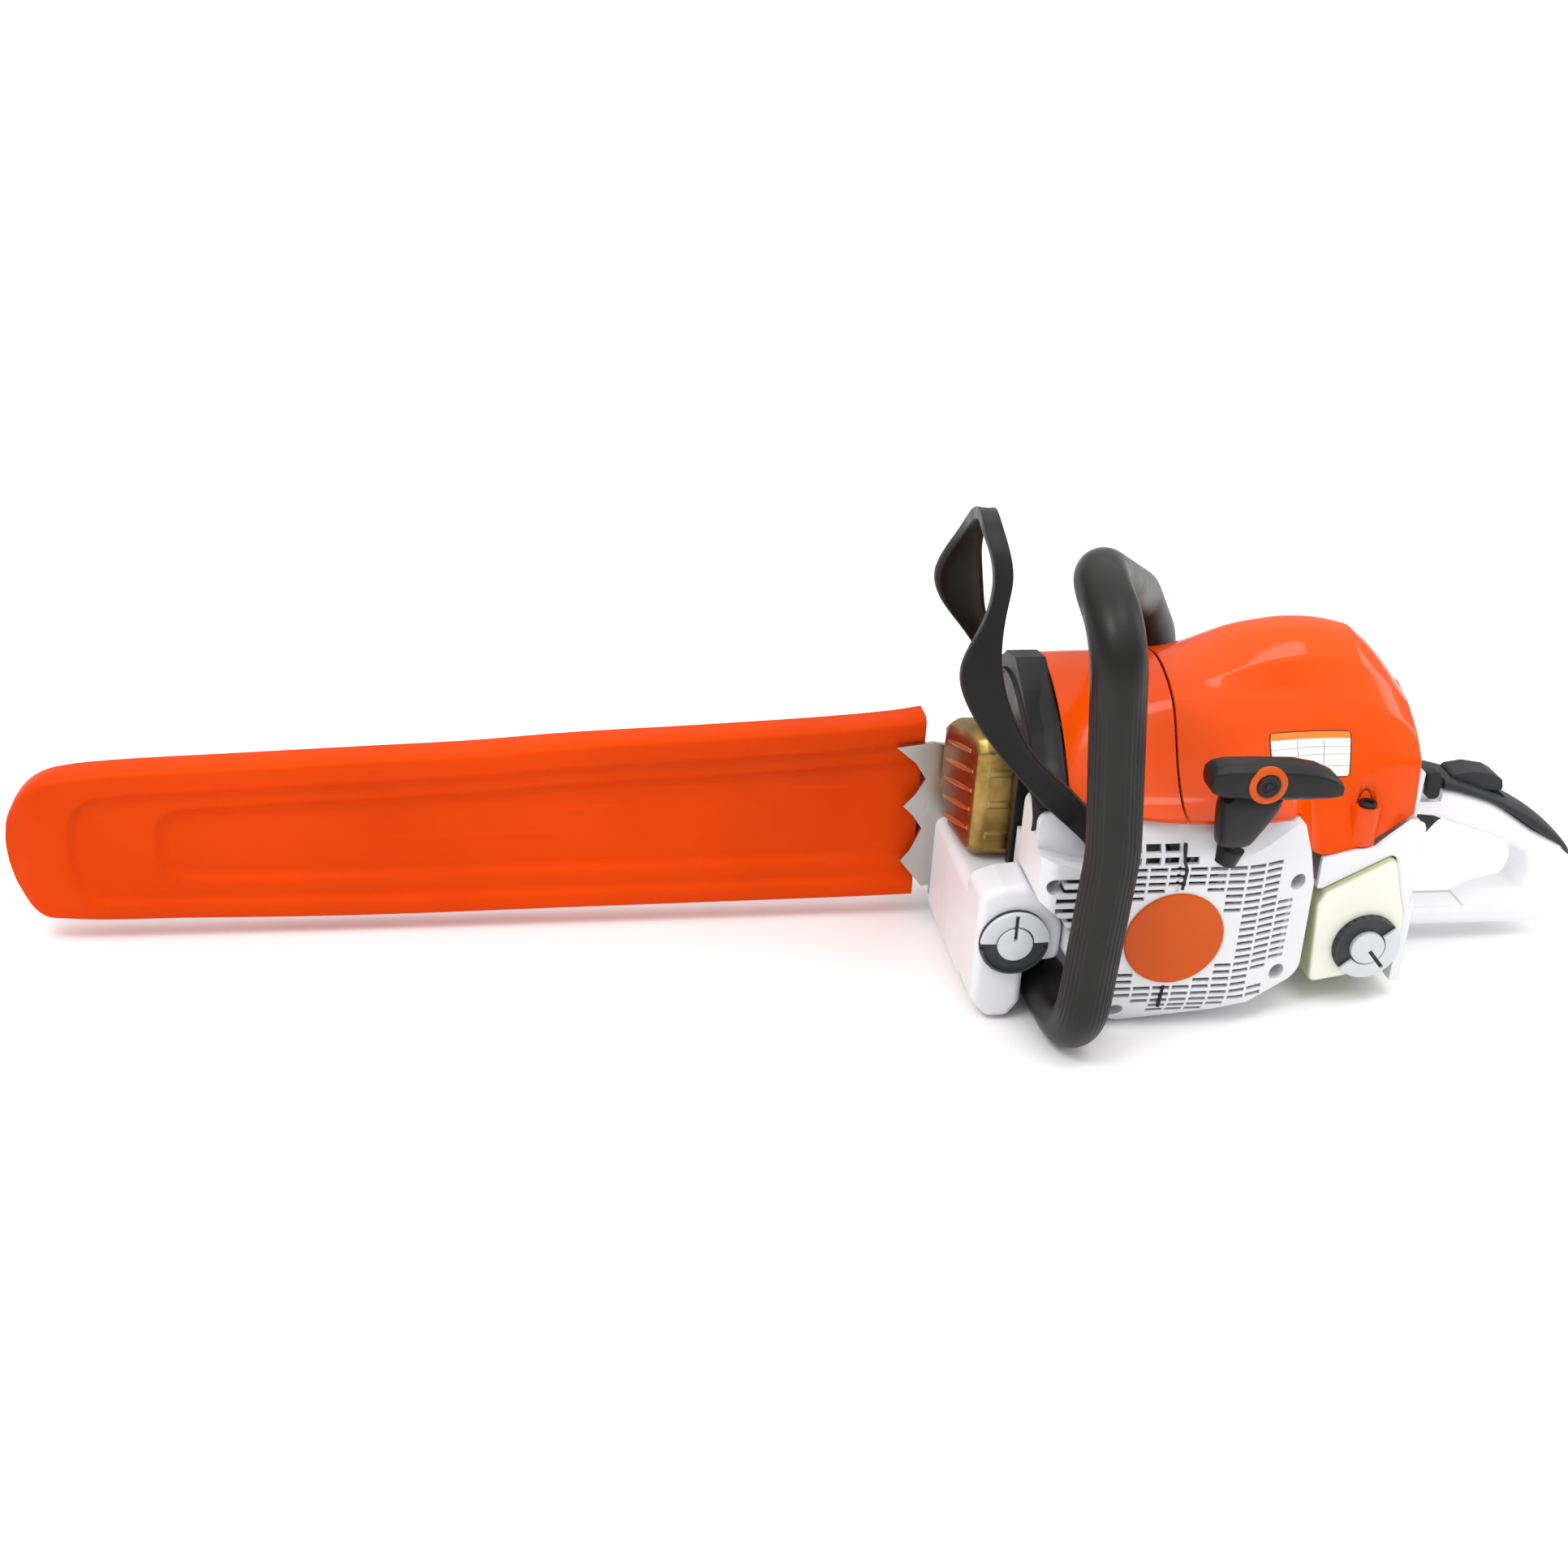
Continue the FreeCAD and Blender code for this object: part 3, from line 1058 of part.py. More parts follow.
# ---- assembly -----------------------------------------------------------------------------
NODES = {
    "crankcase_left": crankcase_left,
    "crankcase_right": crankcase_right,
    "cylinder": cylinder,
    "piston": piston,
    "piston_pin": piston_pin,
    "connecting_rod": connecting_rod,
    "crankpin": crankpin,
    "crankshaft": crankshaft,
    "crank_bearings": crank_bearings,
    "spark_plug": spark_plug,
    "plug_boot": plug_boot,
    "flywheel": flywheel,
    "ignition_module": ignition_module,
    "starter_cover": starter_cover,
    "starter_pulley": starter_pulley,
    "recoil_spring": recoil_spring,
    "rope_bushing": rope_bushing,
    "starter_rope": lambda: rope(ROPE_RADIUS),
    "starter_grip": starter_grip,
    "badge_disc": badge_disc,
    "housing_screws": lambda: group(all_screws()),
    "handle_tube": handle_tube,
    "handle_grip": handle_grip,
    "rear_housing": rear_housing,
    "rear_grip_cover": rear_grip_cover,
    "throttle_trigger": throttle_trigger,
    "trigger_interlock": trigger_interlock,
    "throttle_rod": throttle_rod,
    "control_lever": control_lever,
    "fuel_tank": fuel_tank,
    "fuel_cap": fuel_cap,
    "fuel_cap_bail": lambda: cap_bail(*FUEL_CAP, TANK_FACE_Y, FUEL_BAIL_TURN),
    "oil_cap": oil_cap,
    "oil_cap_bail": lambda: cap_bail(*OIL_CAP, OIL_FACE_Y, OIL_BAIL_TURN),
    "av_buffers": handle_buffers,
    "shroud": shroud,
    "filter_cover": filter_cover,
    "front_baffle": front_baffle,
    "carburettor": carburettor,
    "intake_boot": intake_boot,
    "air_filter": air_filter,
    "muffler_front_shell": muffler_front_shell,
    "muffler_rear_shell": muffler_rear_shell,
    "bumper_spike": bumper_spike,
    "guide_bar": guide_bar,
    "nose_sprocket": nose_sprocket,
    "saw_chain": saw_chain,
    "bar_scabbard": bar_scabbard,
    "sprocket_cover": sprocket_cover,
    "bar_studs": lambda: group(stud_solids()),
    "bar_nuts": bar_nuts,
    "clutch_drum": clutch_drum,
    "rim_sprocket": rim_sprocket,
    "clutch": clutch,
    "brake_band": brake_band,
    "oil_pump": oil_pump,
    "hand_guard": hand_guard,
    "tensioner_screw": tensioner_screw,
    "tensioner_pin": tensioner_pin,
    "chain_catcher": chain_catcher,
}

os.makedirs("parts", exist_ok=True)
for name, make in NODES.items():
    save(name, make())
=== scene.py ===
"""Looks of the chainsaw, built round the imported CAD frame.

Sizes in the builders are millimetres in the row frame: +X to the rear handle, -X to the bar tip,
-Y the starter side, +Z up, origin on the ground below the crankshaft.  to_metres() is applied once,
when a mesh is made.
"""
import math

import bmesh
import bpy
import numpy as np
from mathutils import Matrix, Vector
from mathutils.bvhtree import BVHTree


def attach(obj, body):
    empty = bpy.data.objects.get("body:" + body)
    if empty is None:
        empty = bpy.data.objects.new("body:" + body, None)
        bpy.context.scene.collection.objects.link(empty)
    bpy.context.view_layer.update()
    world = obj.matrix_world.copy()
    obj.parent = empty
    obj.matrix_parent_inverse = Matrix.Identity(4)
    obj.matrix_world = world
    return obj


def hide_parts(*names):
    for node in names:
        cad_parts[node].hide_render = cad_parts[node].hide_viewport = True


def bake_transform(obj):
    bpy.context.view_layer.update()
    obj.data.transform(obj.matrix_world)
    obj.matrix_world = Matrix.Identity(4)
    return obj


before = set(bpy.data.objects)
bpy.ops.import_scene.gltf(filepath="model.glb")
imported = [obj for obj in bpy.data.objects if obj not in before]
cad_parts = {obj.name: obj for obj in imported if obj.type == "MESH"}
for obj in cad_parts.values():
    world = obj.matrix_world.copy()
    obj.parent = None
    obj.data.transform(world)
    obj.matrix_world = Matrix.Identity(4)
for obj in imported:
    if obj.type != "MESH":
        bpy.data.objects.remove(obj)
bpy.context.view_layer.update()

MM = 0.001
CRANK_Z = 66.0


# ---- material building blocks

def linear(red, green, blue):
    """0-255 display colour as a linear RGBA colour."""
    def channel(value):
        share = value / 255
        return share / 12.92 if share <= 0.04045 else ((share + 0.055) / 1.055) ** 2.4
    return (channel(red), channel(green), channel(blue), 1.0)


def toned(colour, factor):
    """A colour made lighter or darker, kept inside the display range."""
    return tuple(min(1.0, max(0.0, part * factor)) for part in colour[:3]) + (1.0,)


class Shade:
    """A node material that is put together one step at a time."""

    def __init__(self, name):
        self.material = bpy.data.materials.new(name)
        self.material.use_nodes = True
        self.tree = self.material.node_tree
        self.tree.nodes.clear()
        self.place = self.add("TexCoord").outputs["Object"]
        self.surface = self.add("BsdfPrincipled")
        output = self.add("OutputMaterial")
        self.tree.links.new(self.surface.outputs[0], output.inputs["Surface"])

    def add(self, kind, inputs=None, **settings):
        made = self.tree.nodes.new("ShaderNode" + kind)
        for key, value in settings.items():
            setattr(made, key, value)
        for key, value in (inputs or {}).items():
            if isinstance(value, bpy.types.NodeSocket):
                self.tree.links.new(value, made.inputs[key])
            else:
                made.inputs[key].default_value = value
        return made

    def set(self, key, value):
        if isinstance(value, bpy.types.NodeSocket):
            self.tree.links.new(value, self.surface.inputs[key])
        else:
            self.surface.inputs[key].default_value = value

    def noise(self, scale, detail=4.0, stretch=None):
        place = self.place
        if stretch:
            place = self.add("Mapping", {"Vector": place, "Scale": stretch}).outputs[0]
        return self.add("TexNoise", {"Vector": place, "Scale": scale, "Detail": detail}).outputs[0]

    def ramp(self, value, low, high, start=0.0, end=1.0):
        """value between low and high turned into start to end, and held beyond."""
        return self.add("MapRange", {"Value": value, "From Min": low, "From Max": high,
                                     "To Min": start, "To Max": end}).outputs[0]

    def blend(self, factor, first, second):
        mixed = self.add("Mix", {0: factor, 6: first, 7: second}, data_type="RGBA")
        return mixed.outputs[2]

    def math(self, operation, first, second=0.0):
        return self.add("Math", {0: first, 1: second}, operation=operation).outputs[0]


def edge_mask(shade, rounded_normal):
    """1 along edges, 0 on flat faces."""
    flat_normal = shade.add("NewGeometry").outputs["Normal"]
    alike = shade.add("VectorMath", {0: rounded_normal, 1: flat_normal}, operation="DOT_PRODUCT")
    return shade.ramp(alike.outputs["Value"], 0.995, 0.86)


def finish_of(name, colour, vary=0.08, vary_scale=18.0, rough=(0.35, 0.5), grain=(900.0, 0.1),
              edge=(0.5, 1.5), edge_radius=0.5, metallic=0.0, coat=0.0, stretch=None, shine=0.5):
    """General finish: mottled colour, uneven gloss, fine grain, softened edges; edges tinted by edge[1],
    lighter as wear, darker as painted shade.
    """
    shade = Shade(name)
    patch = shade.noise(vary_scale, 5.0, stretch)
    base = shade.blend(shade.ramp(patch, 0.35, 0.65), toned(colour, 1 - vary), toned(colour, 1 + vary))
    rounded_normal = shade.add("Bevel", {"Radius": edge_radius * MM}, samples=4).outputs[0]
    mask = edge_mask(shade, rounded_normal)
    scratch = shade.ramp(shade.noise(140.0, 6.0), 0.42, 0.62)
    # edge tint: a factor above 1 lightens the edges as wear, a factor below 1 darkens edges and creases as
    # painted shade
    edge_wear_and_shade = shade.math("MULTIPLY", shade.math("MULTIPLY", mask, scratch), edge[0])
    base = shade.blend(edge_wear_and_shade, base, toned(colour, edge[1]))
    shade.set("Base Color", base)
    smudge = shade.noise(vary_scale * 3.5, 6.0, stretch)
    shade.set("Roughness", shade.ramp(smudge, 0.3, 0.7, rough[0], rough[1]))
    shade.set("Metallic", metallic)
    shade.set("Specular IOR Level", shine)
    if coat:
        shade.set("Coat Weight", coat)
        shade.set("Coat Roughness", 0.06)
    fine = shade.noise(grain[0], 3.0, stretch)
    bump = shade.add("Bump", {"Height": fine, "Strength": grain[1], "Distance": 0.0004,
                              "Normal": rounded_normal})
    shade.set("Normal", bump.outputs[0])
    return shade


def simple(*args, **kwargs):
    return finish_of(*args, **kwargs).material


def cover_gloss():
    """Glossy moulded orange with faint orange peel and hairline scratches."""
    shade = finish_of("cover_orange", linear(230, 76, 0), vary=0.05, vary_scale=9.0, rough=(0.13, 0.2),
                      grain=(520.0, 0.035), edge=(0.35, 1.3), edge_radius=0.9, coat=0.2, shine=0.12)
    return shade.material


def scabbard_satin():
    """Satin polyethylene, deeper orange, with drawn-out scuffs along the sheath."""
    colour = linear(210, 62, 0)
    shade = finish_of("scabbard_orange", colour, vary=0.07, vary_scale=7.0, rough=(0.34, 0.5),
                      grain=(700.0, 0.09), edge=(0.4, 1.35), edge_radius=1.2, shine=0.06)
    scuff = shade.ramp(shade.noise(30.0, 8.0, (0.25, 1.0, 6.0)), 0.63, 0.75, 0.0, 0.35)
    base = shade.surface.inputs["Base Color"].links[0].from_socket
    shade.set("Base Color", shade.blend(scuff, base, toned(colour, 1.25)))
    return shade.material


def tank_milky():
    """Milky translucent tank: cream outer face; where the thick rim turns away from it, painted olive shade.
    """
    shade = finish_of("tank_plastic", linear(236, 238, 222), vary=0.03, rough=(0.32, 0.45),
                      grain=(500.0, 0.08), edge=(0.2, 1.1), edge_radius=1.5)
    base = shade.surface.inputs["Base Color"].links[0].from_socket
    normal = shade.add("NewGeometry").outputs["True Normal"]
    facing = shade.add("SeparateXYZ", {0: normal}).outputs["Y"]
    # faces turned away from -Y get the olive colour: painted shade on the rim
    rim = shade.ramp(facing, -0.93, -0.55)
    shade.set("Base Color", shade.blend(rim, base, linear(176, 180, 142)))
    shade.set("Subsurface Weight", 0.35)
    shade.set("Subsurface Radius", (0.6, 0.7, 0.45))
    shade.set("Subsurface Scale", 0.006)
    return shade.material


def muffler_heat(name, colour, deep):
    """Heat-tinted sheet metal: two tones drifting into each other, brushed along Y."""
    shade = finish_of(name, colour, vary=0.1, rough=(0.3, 0.44), grain=(600.0, 0.05), edge=(0.35, 1.45),
                      edge_radius=1.2, metallic=1.0)
    drift = shade.ramp(shade.noise(16.0, 3.0), 0.38, 0.62)
    brushed = shade.noise(160.0, 2.0, (1.0, 0.06, 1.0))
    base = shade.surface.inputs["Base Color"].links[0].from_socket
    tinted = shade.blend(drift, base, deep)
    shade.set("Base Color", shade.blend(shade.ramp(brushed, 0.4, 0.6, 0.0, 0.2), tinted, toned(colour, 1.25)))
    return shade.material


def steel_finish(name, colour, rough):
    """Ground steel with fine cross scratches."""
    shade = finish_of(name, colour, vary=0.12, rough=rough, grain=(1200.0, 0.1), edge=(0.6, 1.35),
                      metallic=1.0, stretch=(1.0, 1.0, 0.25))
    return shade.material


def label_print():
    """Generic blank label: orange head band, white fields, thin grey rules and a dark outline."""
    shade = Shade("label_print")
    spot = shade.add("UVMap").outputs[0]
    parts = shade.add("SeparateXYZ", {0: spot})
    across, up = parts.outputs["X"], parts.outputs["Y"]
    paper = shade.blend(shade.ramp(shade.noise(60.0), 0.4, 0.6), linear(240, 240, 238), linear(226, 227, 226))

    def between(value, low, high):
        above = shade.math("GREATER_THAN", value, low)
        below = shade.math("LESS_THAN", value, high)
        return shade.math("MULTIPLY", above, below)

    for rule in (0.24, 0.5, 0.66):
        paper = shade.blend(between(up, rule, rule + 0.012), paper, linear(150, 150, 152))
    for rule in (0.34, 0.67):
        upright = shade.math("MULTIPLY", between(across, rule, rule + 0.01), between(up, 0.06, 0.82))
        paper = shade.blend(upright, paper, linear(150, 150, 152))
    paper = shade.blend(shade.math("GREATER_THAN", up, 0.84), paper, linear(246, 130, 44))
    inside = shade.math("MULTIPLY", between(across, 0.014, 0.986), between(up, 0.02, 0.98))
    shade.set("Base Color", shade.blend(inside, linear(60, 44, 36), paper))
    shade.set("Roughness", shade.ramp(shade.noise(80.0), 0.3, 0.7, 0.2, 0.32))
    return shade.material


def floor_pale():
    shade = Shade("floor_pale")
    tone = shade.noise(0.7, 2.0)
    shade.set("Base Color", shade.blend(tone, (0.90, 0.90, 0.905, 1), (0.92, 0.92, 0.92, 1)))
    shade.set("Roughness", 0.75)
    shade.set("Specular IOR Level", 0.15)
    return shade.material


# edge factors below 1 in these finishes darken the edges: painted shade
CASE_WHITE = simple("case_white", linear(224, 224, 227), vary=0.03, rough=(0.32, 0.46), grain=(650.0, 0.16),
                    edge=(0.3, 0.78), edge_radius=1.0)
COVER_WHITE = simple("cover_white", linear(226, 226, 229), vary=0.025, rough=(0.28, 0.4), grain=(500.0, 0.07),
                     edge=(0.25, 0.85), edge_radius=0.6)
HOUSING_WHITE = simple("housing_white", linear(234, 234, 237), vary=0.025, rough=(0.3, 0.44),
                       grain=(420.0, 0.09), edge=(0.25, 0.85), edge_radius=1.0)
COVER_ORANGE = cover_gloss()
BADGE_ORANGE = simple("badge_orange", linear(204, 82, 14), vary=0.05, rough=(0.3, 0.42), grain=(1400.0, 0.08),
                      edge=(0.5, 0.55), edge_radius=0.7, shine=0.2)
SCABBARD_ORANGE = scabbard_satin()
BLACK_PLASTIC = simple("black_plastic", linear(22, 22, 23), vary=0.15, rough=(0.36, 0.5), grain=(1500.0, 0.2),
                       edge=(0.35, 2.2), edge_radius=0.6, shine=0.3)
GUARD_BLACK = simple("guard_black", linear(19, 19, 20), vary=0.15, rough=(0.38, 0.54), grain=(1300.0, 0.22),
                     edge=(0.4, 2.4), edge_radius=0.8, shine=0.3)
GRIP_DARK = simple("grip_dark", linear(38, 39, 41), vary=0.12, rough=(0.42, 0.58), grain=(1600.0, 0.3),
                   edge=(0.3, 1.7), edge_radius=0.6, shine=0.3)
BLACK_RUBBER = simple("black_rubber", linear(23, 22, 21), vary=0.2, vary_scale=12.0, rough=(0.3, 0.46),
                      grain=(1100.0, 0.14), edge=(0.3, 1.8), edge_radius=0.4, shine=0.3)
TANK_PLASTIC = tank_milky()
CAP_GREY = simple("cap_grey", linear(206, 208, 211), vary=0.04, rough=(0.34, 0.48), grain=(800.0, 0.12),
                  edge=(0.3, 0.8), edge_radius=0.4)
CAP_DARK = simple("cap_dark", linear(44, 46, 50), vary=0.12, rough=(0.4, 0.55), grain=(1200.0, 0.2),
                  edge=(0.4, 2.0), edge_radius=0.4)
MUFFLER_GOLD = muffler_heat("muffler_gold", linear(190, 158, 92), linear(132, 108, 58))
MUFFLER_COPPER = muffler_heat("muffler_copper", linear(160, 112, 66), linear(128, 84, 48))
# lighter copy of the muffler gold for the ribs: a painted highlight
MUFFLER_RIB_PAINTED_HIGHLIGHT = muffler_heat("muffler_rib_painted_highlight", linear(218, 168, 112), linear(196, 146, 92))
MUFFLER_STEEL = steel_finish("muffler_steel", linear(150, 148, 142), (0.34, 0.5))
STEEL = steel_finish("steel", linear(176, 176, 172), (0.24, 0.38))
BAR_STEEL = steel_finish("bar_steel", linear(188, 188, 186), (0.26, 0.4))
CHAIN_STEEL = steel_finish("chain_steel", linear(140, 140, 142), (0.24, 0.36))
DARK_STEEL = steel_finish("dark_steel", linear(92, 92, 94), (0.3, 0.45))
CAST_ALLOY = simple("cast_alloy", linear(168, 168, 166), vary=0.1, rough=(0.42, 0.6), grain=(420.0, 0.3),
                    edge=(0.4, 1.3), metallic=0.85)
ALUMINIUM_TUBE = simple("aluminium_tube", linear(46, 46, 48), vary=0.1, rough=(0.34, 0.48),
                        grain=(900.0, 0.1), edge=(0.3, 1.8))
ROPE_FIBRE = simple("rope_fibre", linear(228, 226, 216), vary=0.12, vary_scale=120.0, rough=(0.75, 0.9),
                    grain=(1500.0, 0.7), edge=(0.1, 0.9))
FILTER_FLEECE = simple("filter_fleece", linear(222, 214, 190), vary=0.08, rough=(0.8, 0.95),
                       grain=(900.0, 0.8), edge=(0.1, 0.9))
LABEL_PRINT = label_print()


# ---- mesh building blocks

def to_metres(points):
    return [Vector(point) * MM for point in points]


def make(name, points, faces, material, body, sharp=32.0):
    """Mesh object from millimetre points, with outward normals, riding on a CAD body."""
    mesh = bpy.data.meshes.new(name)
    mesh.from_pydata(to_metres(points), [], faces)
    shell = bmesh.new()
    shell.from_mesh(mesh)
    bmesh.ops.recalc_face_normals(shell, faces=shell.faces)
    shell.to_mesh(mesh)
    shell.free()
    mesh.materials.append(material)
    piece = bpy.data.objects.new(name, mesh)
    bpy.context.scene.collection.objects.link(piece)
    smooth(piece, sharp)
    if body:
        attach(piece, body)
    return piece


def smooth(piece, sharp=32.0):
    mesh = piece.data
    mesh.polygons.foreach_set("use_smooth", [True] * len(mesh.polygons))
    mesh.set_sharp_from_angle(angle=math.radians(sharp))
    mesh.update()


def modifier(piece, kind, **settings):
    made = piece.modifiers.new(kind.lower(), kind)
    for key, value in settings.items():
        setattr(made, key, value)
    return made


def settle(piece, sharp=32.0):
    """Turns the piece's modifiers into mesh."""
    bpy.context.view_layer.update()
    graph = bpy.context.evaluated_depsgraph_get()
    mesh = bpy.data.meshes.new_from_object(piece.evaluated_get(graph))
    piece.modifiers.clear()
    piece.data = mesh
    smooth(piece, sharp)
    return piece


def boolean(piece, cutter, operation="DIFFERENCE"):
    """Cuts with (or adds) a helper mesh, which is then removed."""
    modifier(piece, "BOOLEAN", object=cutter, operation=operation, solver="EXACT")
    settle(piece)
    bpy.data.objects.remove(cutter)
    return piece


def bevelled(piece, width, segments=3, angle=30.0):
    """Softens every edge sharper than an angle."""
    modifier(piece, "BEVEL", width=width * MM, segments=segments, limit_method="ANGLE",
             angle_limit=math.radians(angle), harden_normals=False)
    return settle(piece)


def loft(rings, closed_ends=True, wrap=True):
    """Points and faces through rings that all have the same number of points."""
    count = len(rings[0])
    points = [tuple(point) for ring in rings for point in ring]
    faces = []
    span = count if wrap else count - 1
    for index in range(len(rings) - 1):
        for step in range(span):
            a = index * count + step
            b = index * count + (step + 1) % count
            faces.append((a, b, b + count, a + count))
    if closed_ends:
        faces.append(tuple(range(count)))
        last = (len(rings) - 1) * count
        faces.append(tuple(last + step for step in reversed(range(count))))
    return points, faces


def extruded(name, outline, y0, y1, material, body, bevel=0.5, segments=3):
    """Flat outline of (x, z) corners drawn out along Y with softened edges."""
    rings = [[(x, y, z) for x, z in outline] for y in (y0, y1)]
    points, faces = loft(rings)
    piece = make(name, points, faces, material, body)
    return bevelled(piece, bevel, segments) if bevel else piece


def round_points(steps):
    """Cosine and sine of equal steps round a circle."""
    return [(math.cos(2 * math.pi * k / steps), math.sin(2 * math.pi * k / steps)) for k in range(steps)]


def cylinder_mesh(name, start, end, radius, steps=40):
    """Helper cylinder between two points, for cutting."""
    a, b = Vector(start), Vector(end)
    axis = (b - a).normalized()
    side = axis.orthogonal().normalized()
    other = axis.cross(side)
    rings = [[centre + radius * (side * c + other * s) for c, s in round_points(steps)] for centre in (a, b)]
    return make(name, *loft(rings), BLACK_PLASTIC, None)


def turned(name, centre, axis, profile, material, body, steps=64, sharp=32.0):
    """Lathe piece: profile is (distance along axis, radius) from one end to the other."""
    middle = Vector(centre)
    along = Vector(axis).normalized()
    side = along.orthogonal().normalized()
    other = along.cross(side)
    rings = []
    for distance, radius in profile:
        spot = middle + along * distance
        rings.append([spot + max(radius, 0.01) * (side * c + other * s) for c, s in round_points(steps)])
    return make(name, *loft(rings), material, body, sharp)


def rounded_box(name, low, high, bevel, material, body, segments=4):
    """Box with rounded edges."""
    outline = [(low[0], low[2]), (high[0], low[2]), (high[0], high[2]), (low[0], high[2])]
    return extruded(name, outline, low[1], high[1], material, body, bevel, segments)


def joined(name, pieces, body):
    """Several helper pieces made into one."""
    points, faces, slots, materials = [], [], [], []
    for piece in pieces:
        offset = len(points)
        points += [vertex.co / MM for vertex in piece.data.vertices]
        for polygon in piece.data.polygons:
            faces.append(tuple(offset + index for index in polygon.vertices))
            slots.append(piece.data.materials[polygon.material_index])
        bpy.data.objects.remove(piece)
    for material in slots:
        if material not in materials:
            materials.append(material)
    whole = make(name, points, faces, materials[0], body)
    for material in materials[1:]:
        whole.data.materials.append(material)
    for polygon, material in zip(whole.data.polygons, slots):
        polygon.material_index = materials.index(material)
    return whole


# ---- smooth path along straight runs and tangent arcs

def run_and_arc_path(route, bends, step):
    """Points along a bent tube's centreline: straight runs joined by arcs of the given radii."""
    corners = [Vector(point) for point in route]
    path = [corners[0]]

    def straight(target):
        start = path[-1]
        count = max(1, round((target - start).length / step))
        path.extend(start.lerp(target, k / count) for k in range(1, count + 1))

    for index in range(1, len(corners) - 1):
        corner = corners[index]
        back = (corners[index - 1] - corner).normalized()
        ahead = (corners[index + 1] - corner).normalized()
        half = back.angle(ahead) / 2
        radius = bends[index - 1]
        reach = radius / math.tan(half)
        centre = corner + (back + ahead).normalized() * (radius / math.sin(half))
        straight(corner + back * reach)
        sweep = math.pi - 2 * half
        normal = back.cross(ahead).normalized()
        spoke = path[-1] - centre
        count = max(2, round(radius * sweep / step))
        for k in range(1, count + 1):
            path.append(centre + Matrix.Rotation(-sweep * k / count, 3, normal) @ spoke)
    straight(corners[-1])
    return path


def carried_frames(path, first_side):
    """Side and up directions carried along a path without twist."""
    frames = []
    side = Vector(first_side)
    for index, point in enumerate(path):
        ahead = path[min(index + 1, len(path) - 1)] - path[max(index - 1, 0)]
        ahead.normalize()
        side = (side - ahead * side.dot(ahead)).normalized()
        frames.append((side.copy(), ahead.cross(side)))
    return frames


# ---- camera, light and floor
CAMERA_AT = (-395.83, -1039.47, 646.73)
CAMERA_RIGHT = (0.98818, -0.14493, 0.04998)
CAMERA_UP = (0.02086, 0.45012, 0.89272)
CAMERA_LOOK = (0.15188, 0.88113, -0.44782)
SENSOR = 36.0
LENS = 45.03
DOME_LOW = 0.42                  # light of the white surroundings at the horizon
DOME_HIGH = 1.5                  # and straight above
FLOOR_HALF = 30000.0
FLOOR_Z = -0.4


def studio():
    """Camera, three softboxes, the white surroundings and the floor."""
    camera = bpy.data.objects.new("camera", bpy.data.cameras.new("camera"))
    camera.data.sensor_width = SENSOR
    camera.data.lens = LENS
    camera.data.clip_start = 0.05
    camera.data.clip_end = 100.0
    right, up, back = Vector(CAMERA_RIGHT), Vector(CAMERA_UP), -Vector(CAMERA_LOOK)
    turn = Matrix((right, up, back)).transposed().to_4x4()
    camera.matrix_world = Matrix.Translation(Vector(CAMERA_AT) * MM) @ turn
    bpy.context.scene.collection.objects.link(camera)
    bpy.context.scene.camera = camera

    def softbox(name, place, target, size, power):
        light = bpy.data.lights.new(name, "AREA")
        light.shape = "RECTANGLE"
        light.size, light.size_y = size
        light.energy = power
        holder = bpy.data.objects.new(name, light)
        away = Vector(place) - Vector(target)
        holder.rotation_mode = "QUATERNION"
        holder.rotation_quaternion = away.to_track_quat("Z", "Y")
        holder.location = place
        bpy.context.scene.collection.objects.link(holder)

    softbox("light_key", (-1.1, -0.7, 1.7), (-0.05, 0, 0.1), (0.8, 0.5), 13)
    softbox("light_top", (0.3, -0.5, 1.6), (0.05, 0, 0.1), (0.8, 0.35), 5)
    softbox("light_rear", (1.7, 0.2, 0.9), (0.05, 0, 0.12), (0.5, 0.8), 4)

    # white dome, bright overhead and dimmer towards the horizon
    world = bpy.data.worlds.new("studio")
    world.use_nodes = True
    nodes, links = world.node_tree.nodes, world.node_tree.links
    place = nodes.new("ShaderNodeTexCoord").outputs["Generated"]
    split = nodes.new("ShaderNodeSeparateXYZ")
    links.new(place, split.inputs[0])
    dome = nodes.new("ShaderNodeMapRange")
    dome.interpolation_type = "SMOOTHSTEP"
    links.new(split.outputs["Z"], dome.inputs["Value"])
    for key, value in (("From Min", 0.05), ("From Max", 0.95), ("To Min", DOME_LOW), ("To Max", DOME_HIGH)):
        dome.inputs[key].default_value = value
    nodes["Background"].inputs["Color"].default_value = (1.0, 1.0, 1.0, 1.0)
    links.new(dome.outputs[0], nodes["Background"].inputs["Strength"])
    bpy.context.scene.world = world
    bpy.context.scene.view_settings.view_transform = "Standard"

    corners = [(x * FLOOR_HALF, y * FLOOR_HALF, FLOOR_Z) for x, y in ((-1, -1), (1, -1), (1, 1), (-1, 1))]
    floor = make("floor", corners, [(0, 1, 2, 3)], floor_pale(), None)


# ---- orange covers
SKIN = 2.2
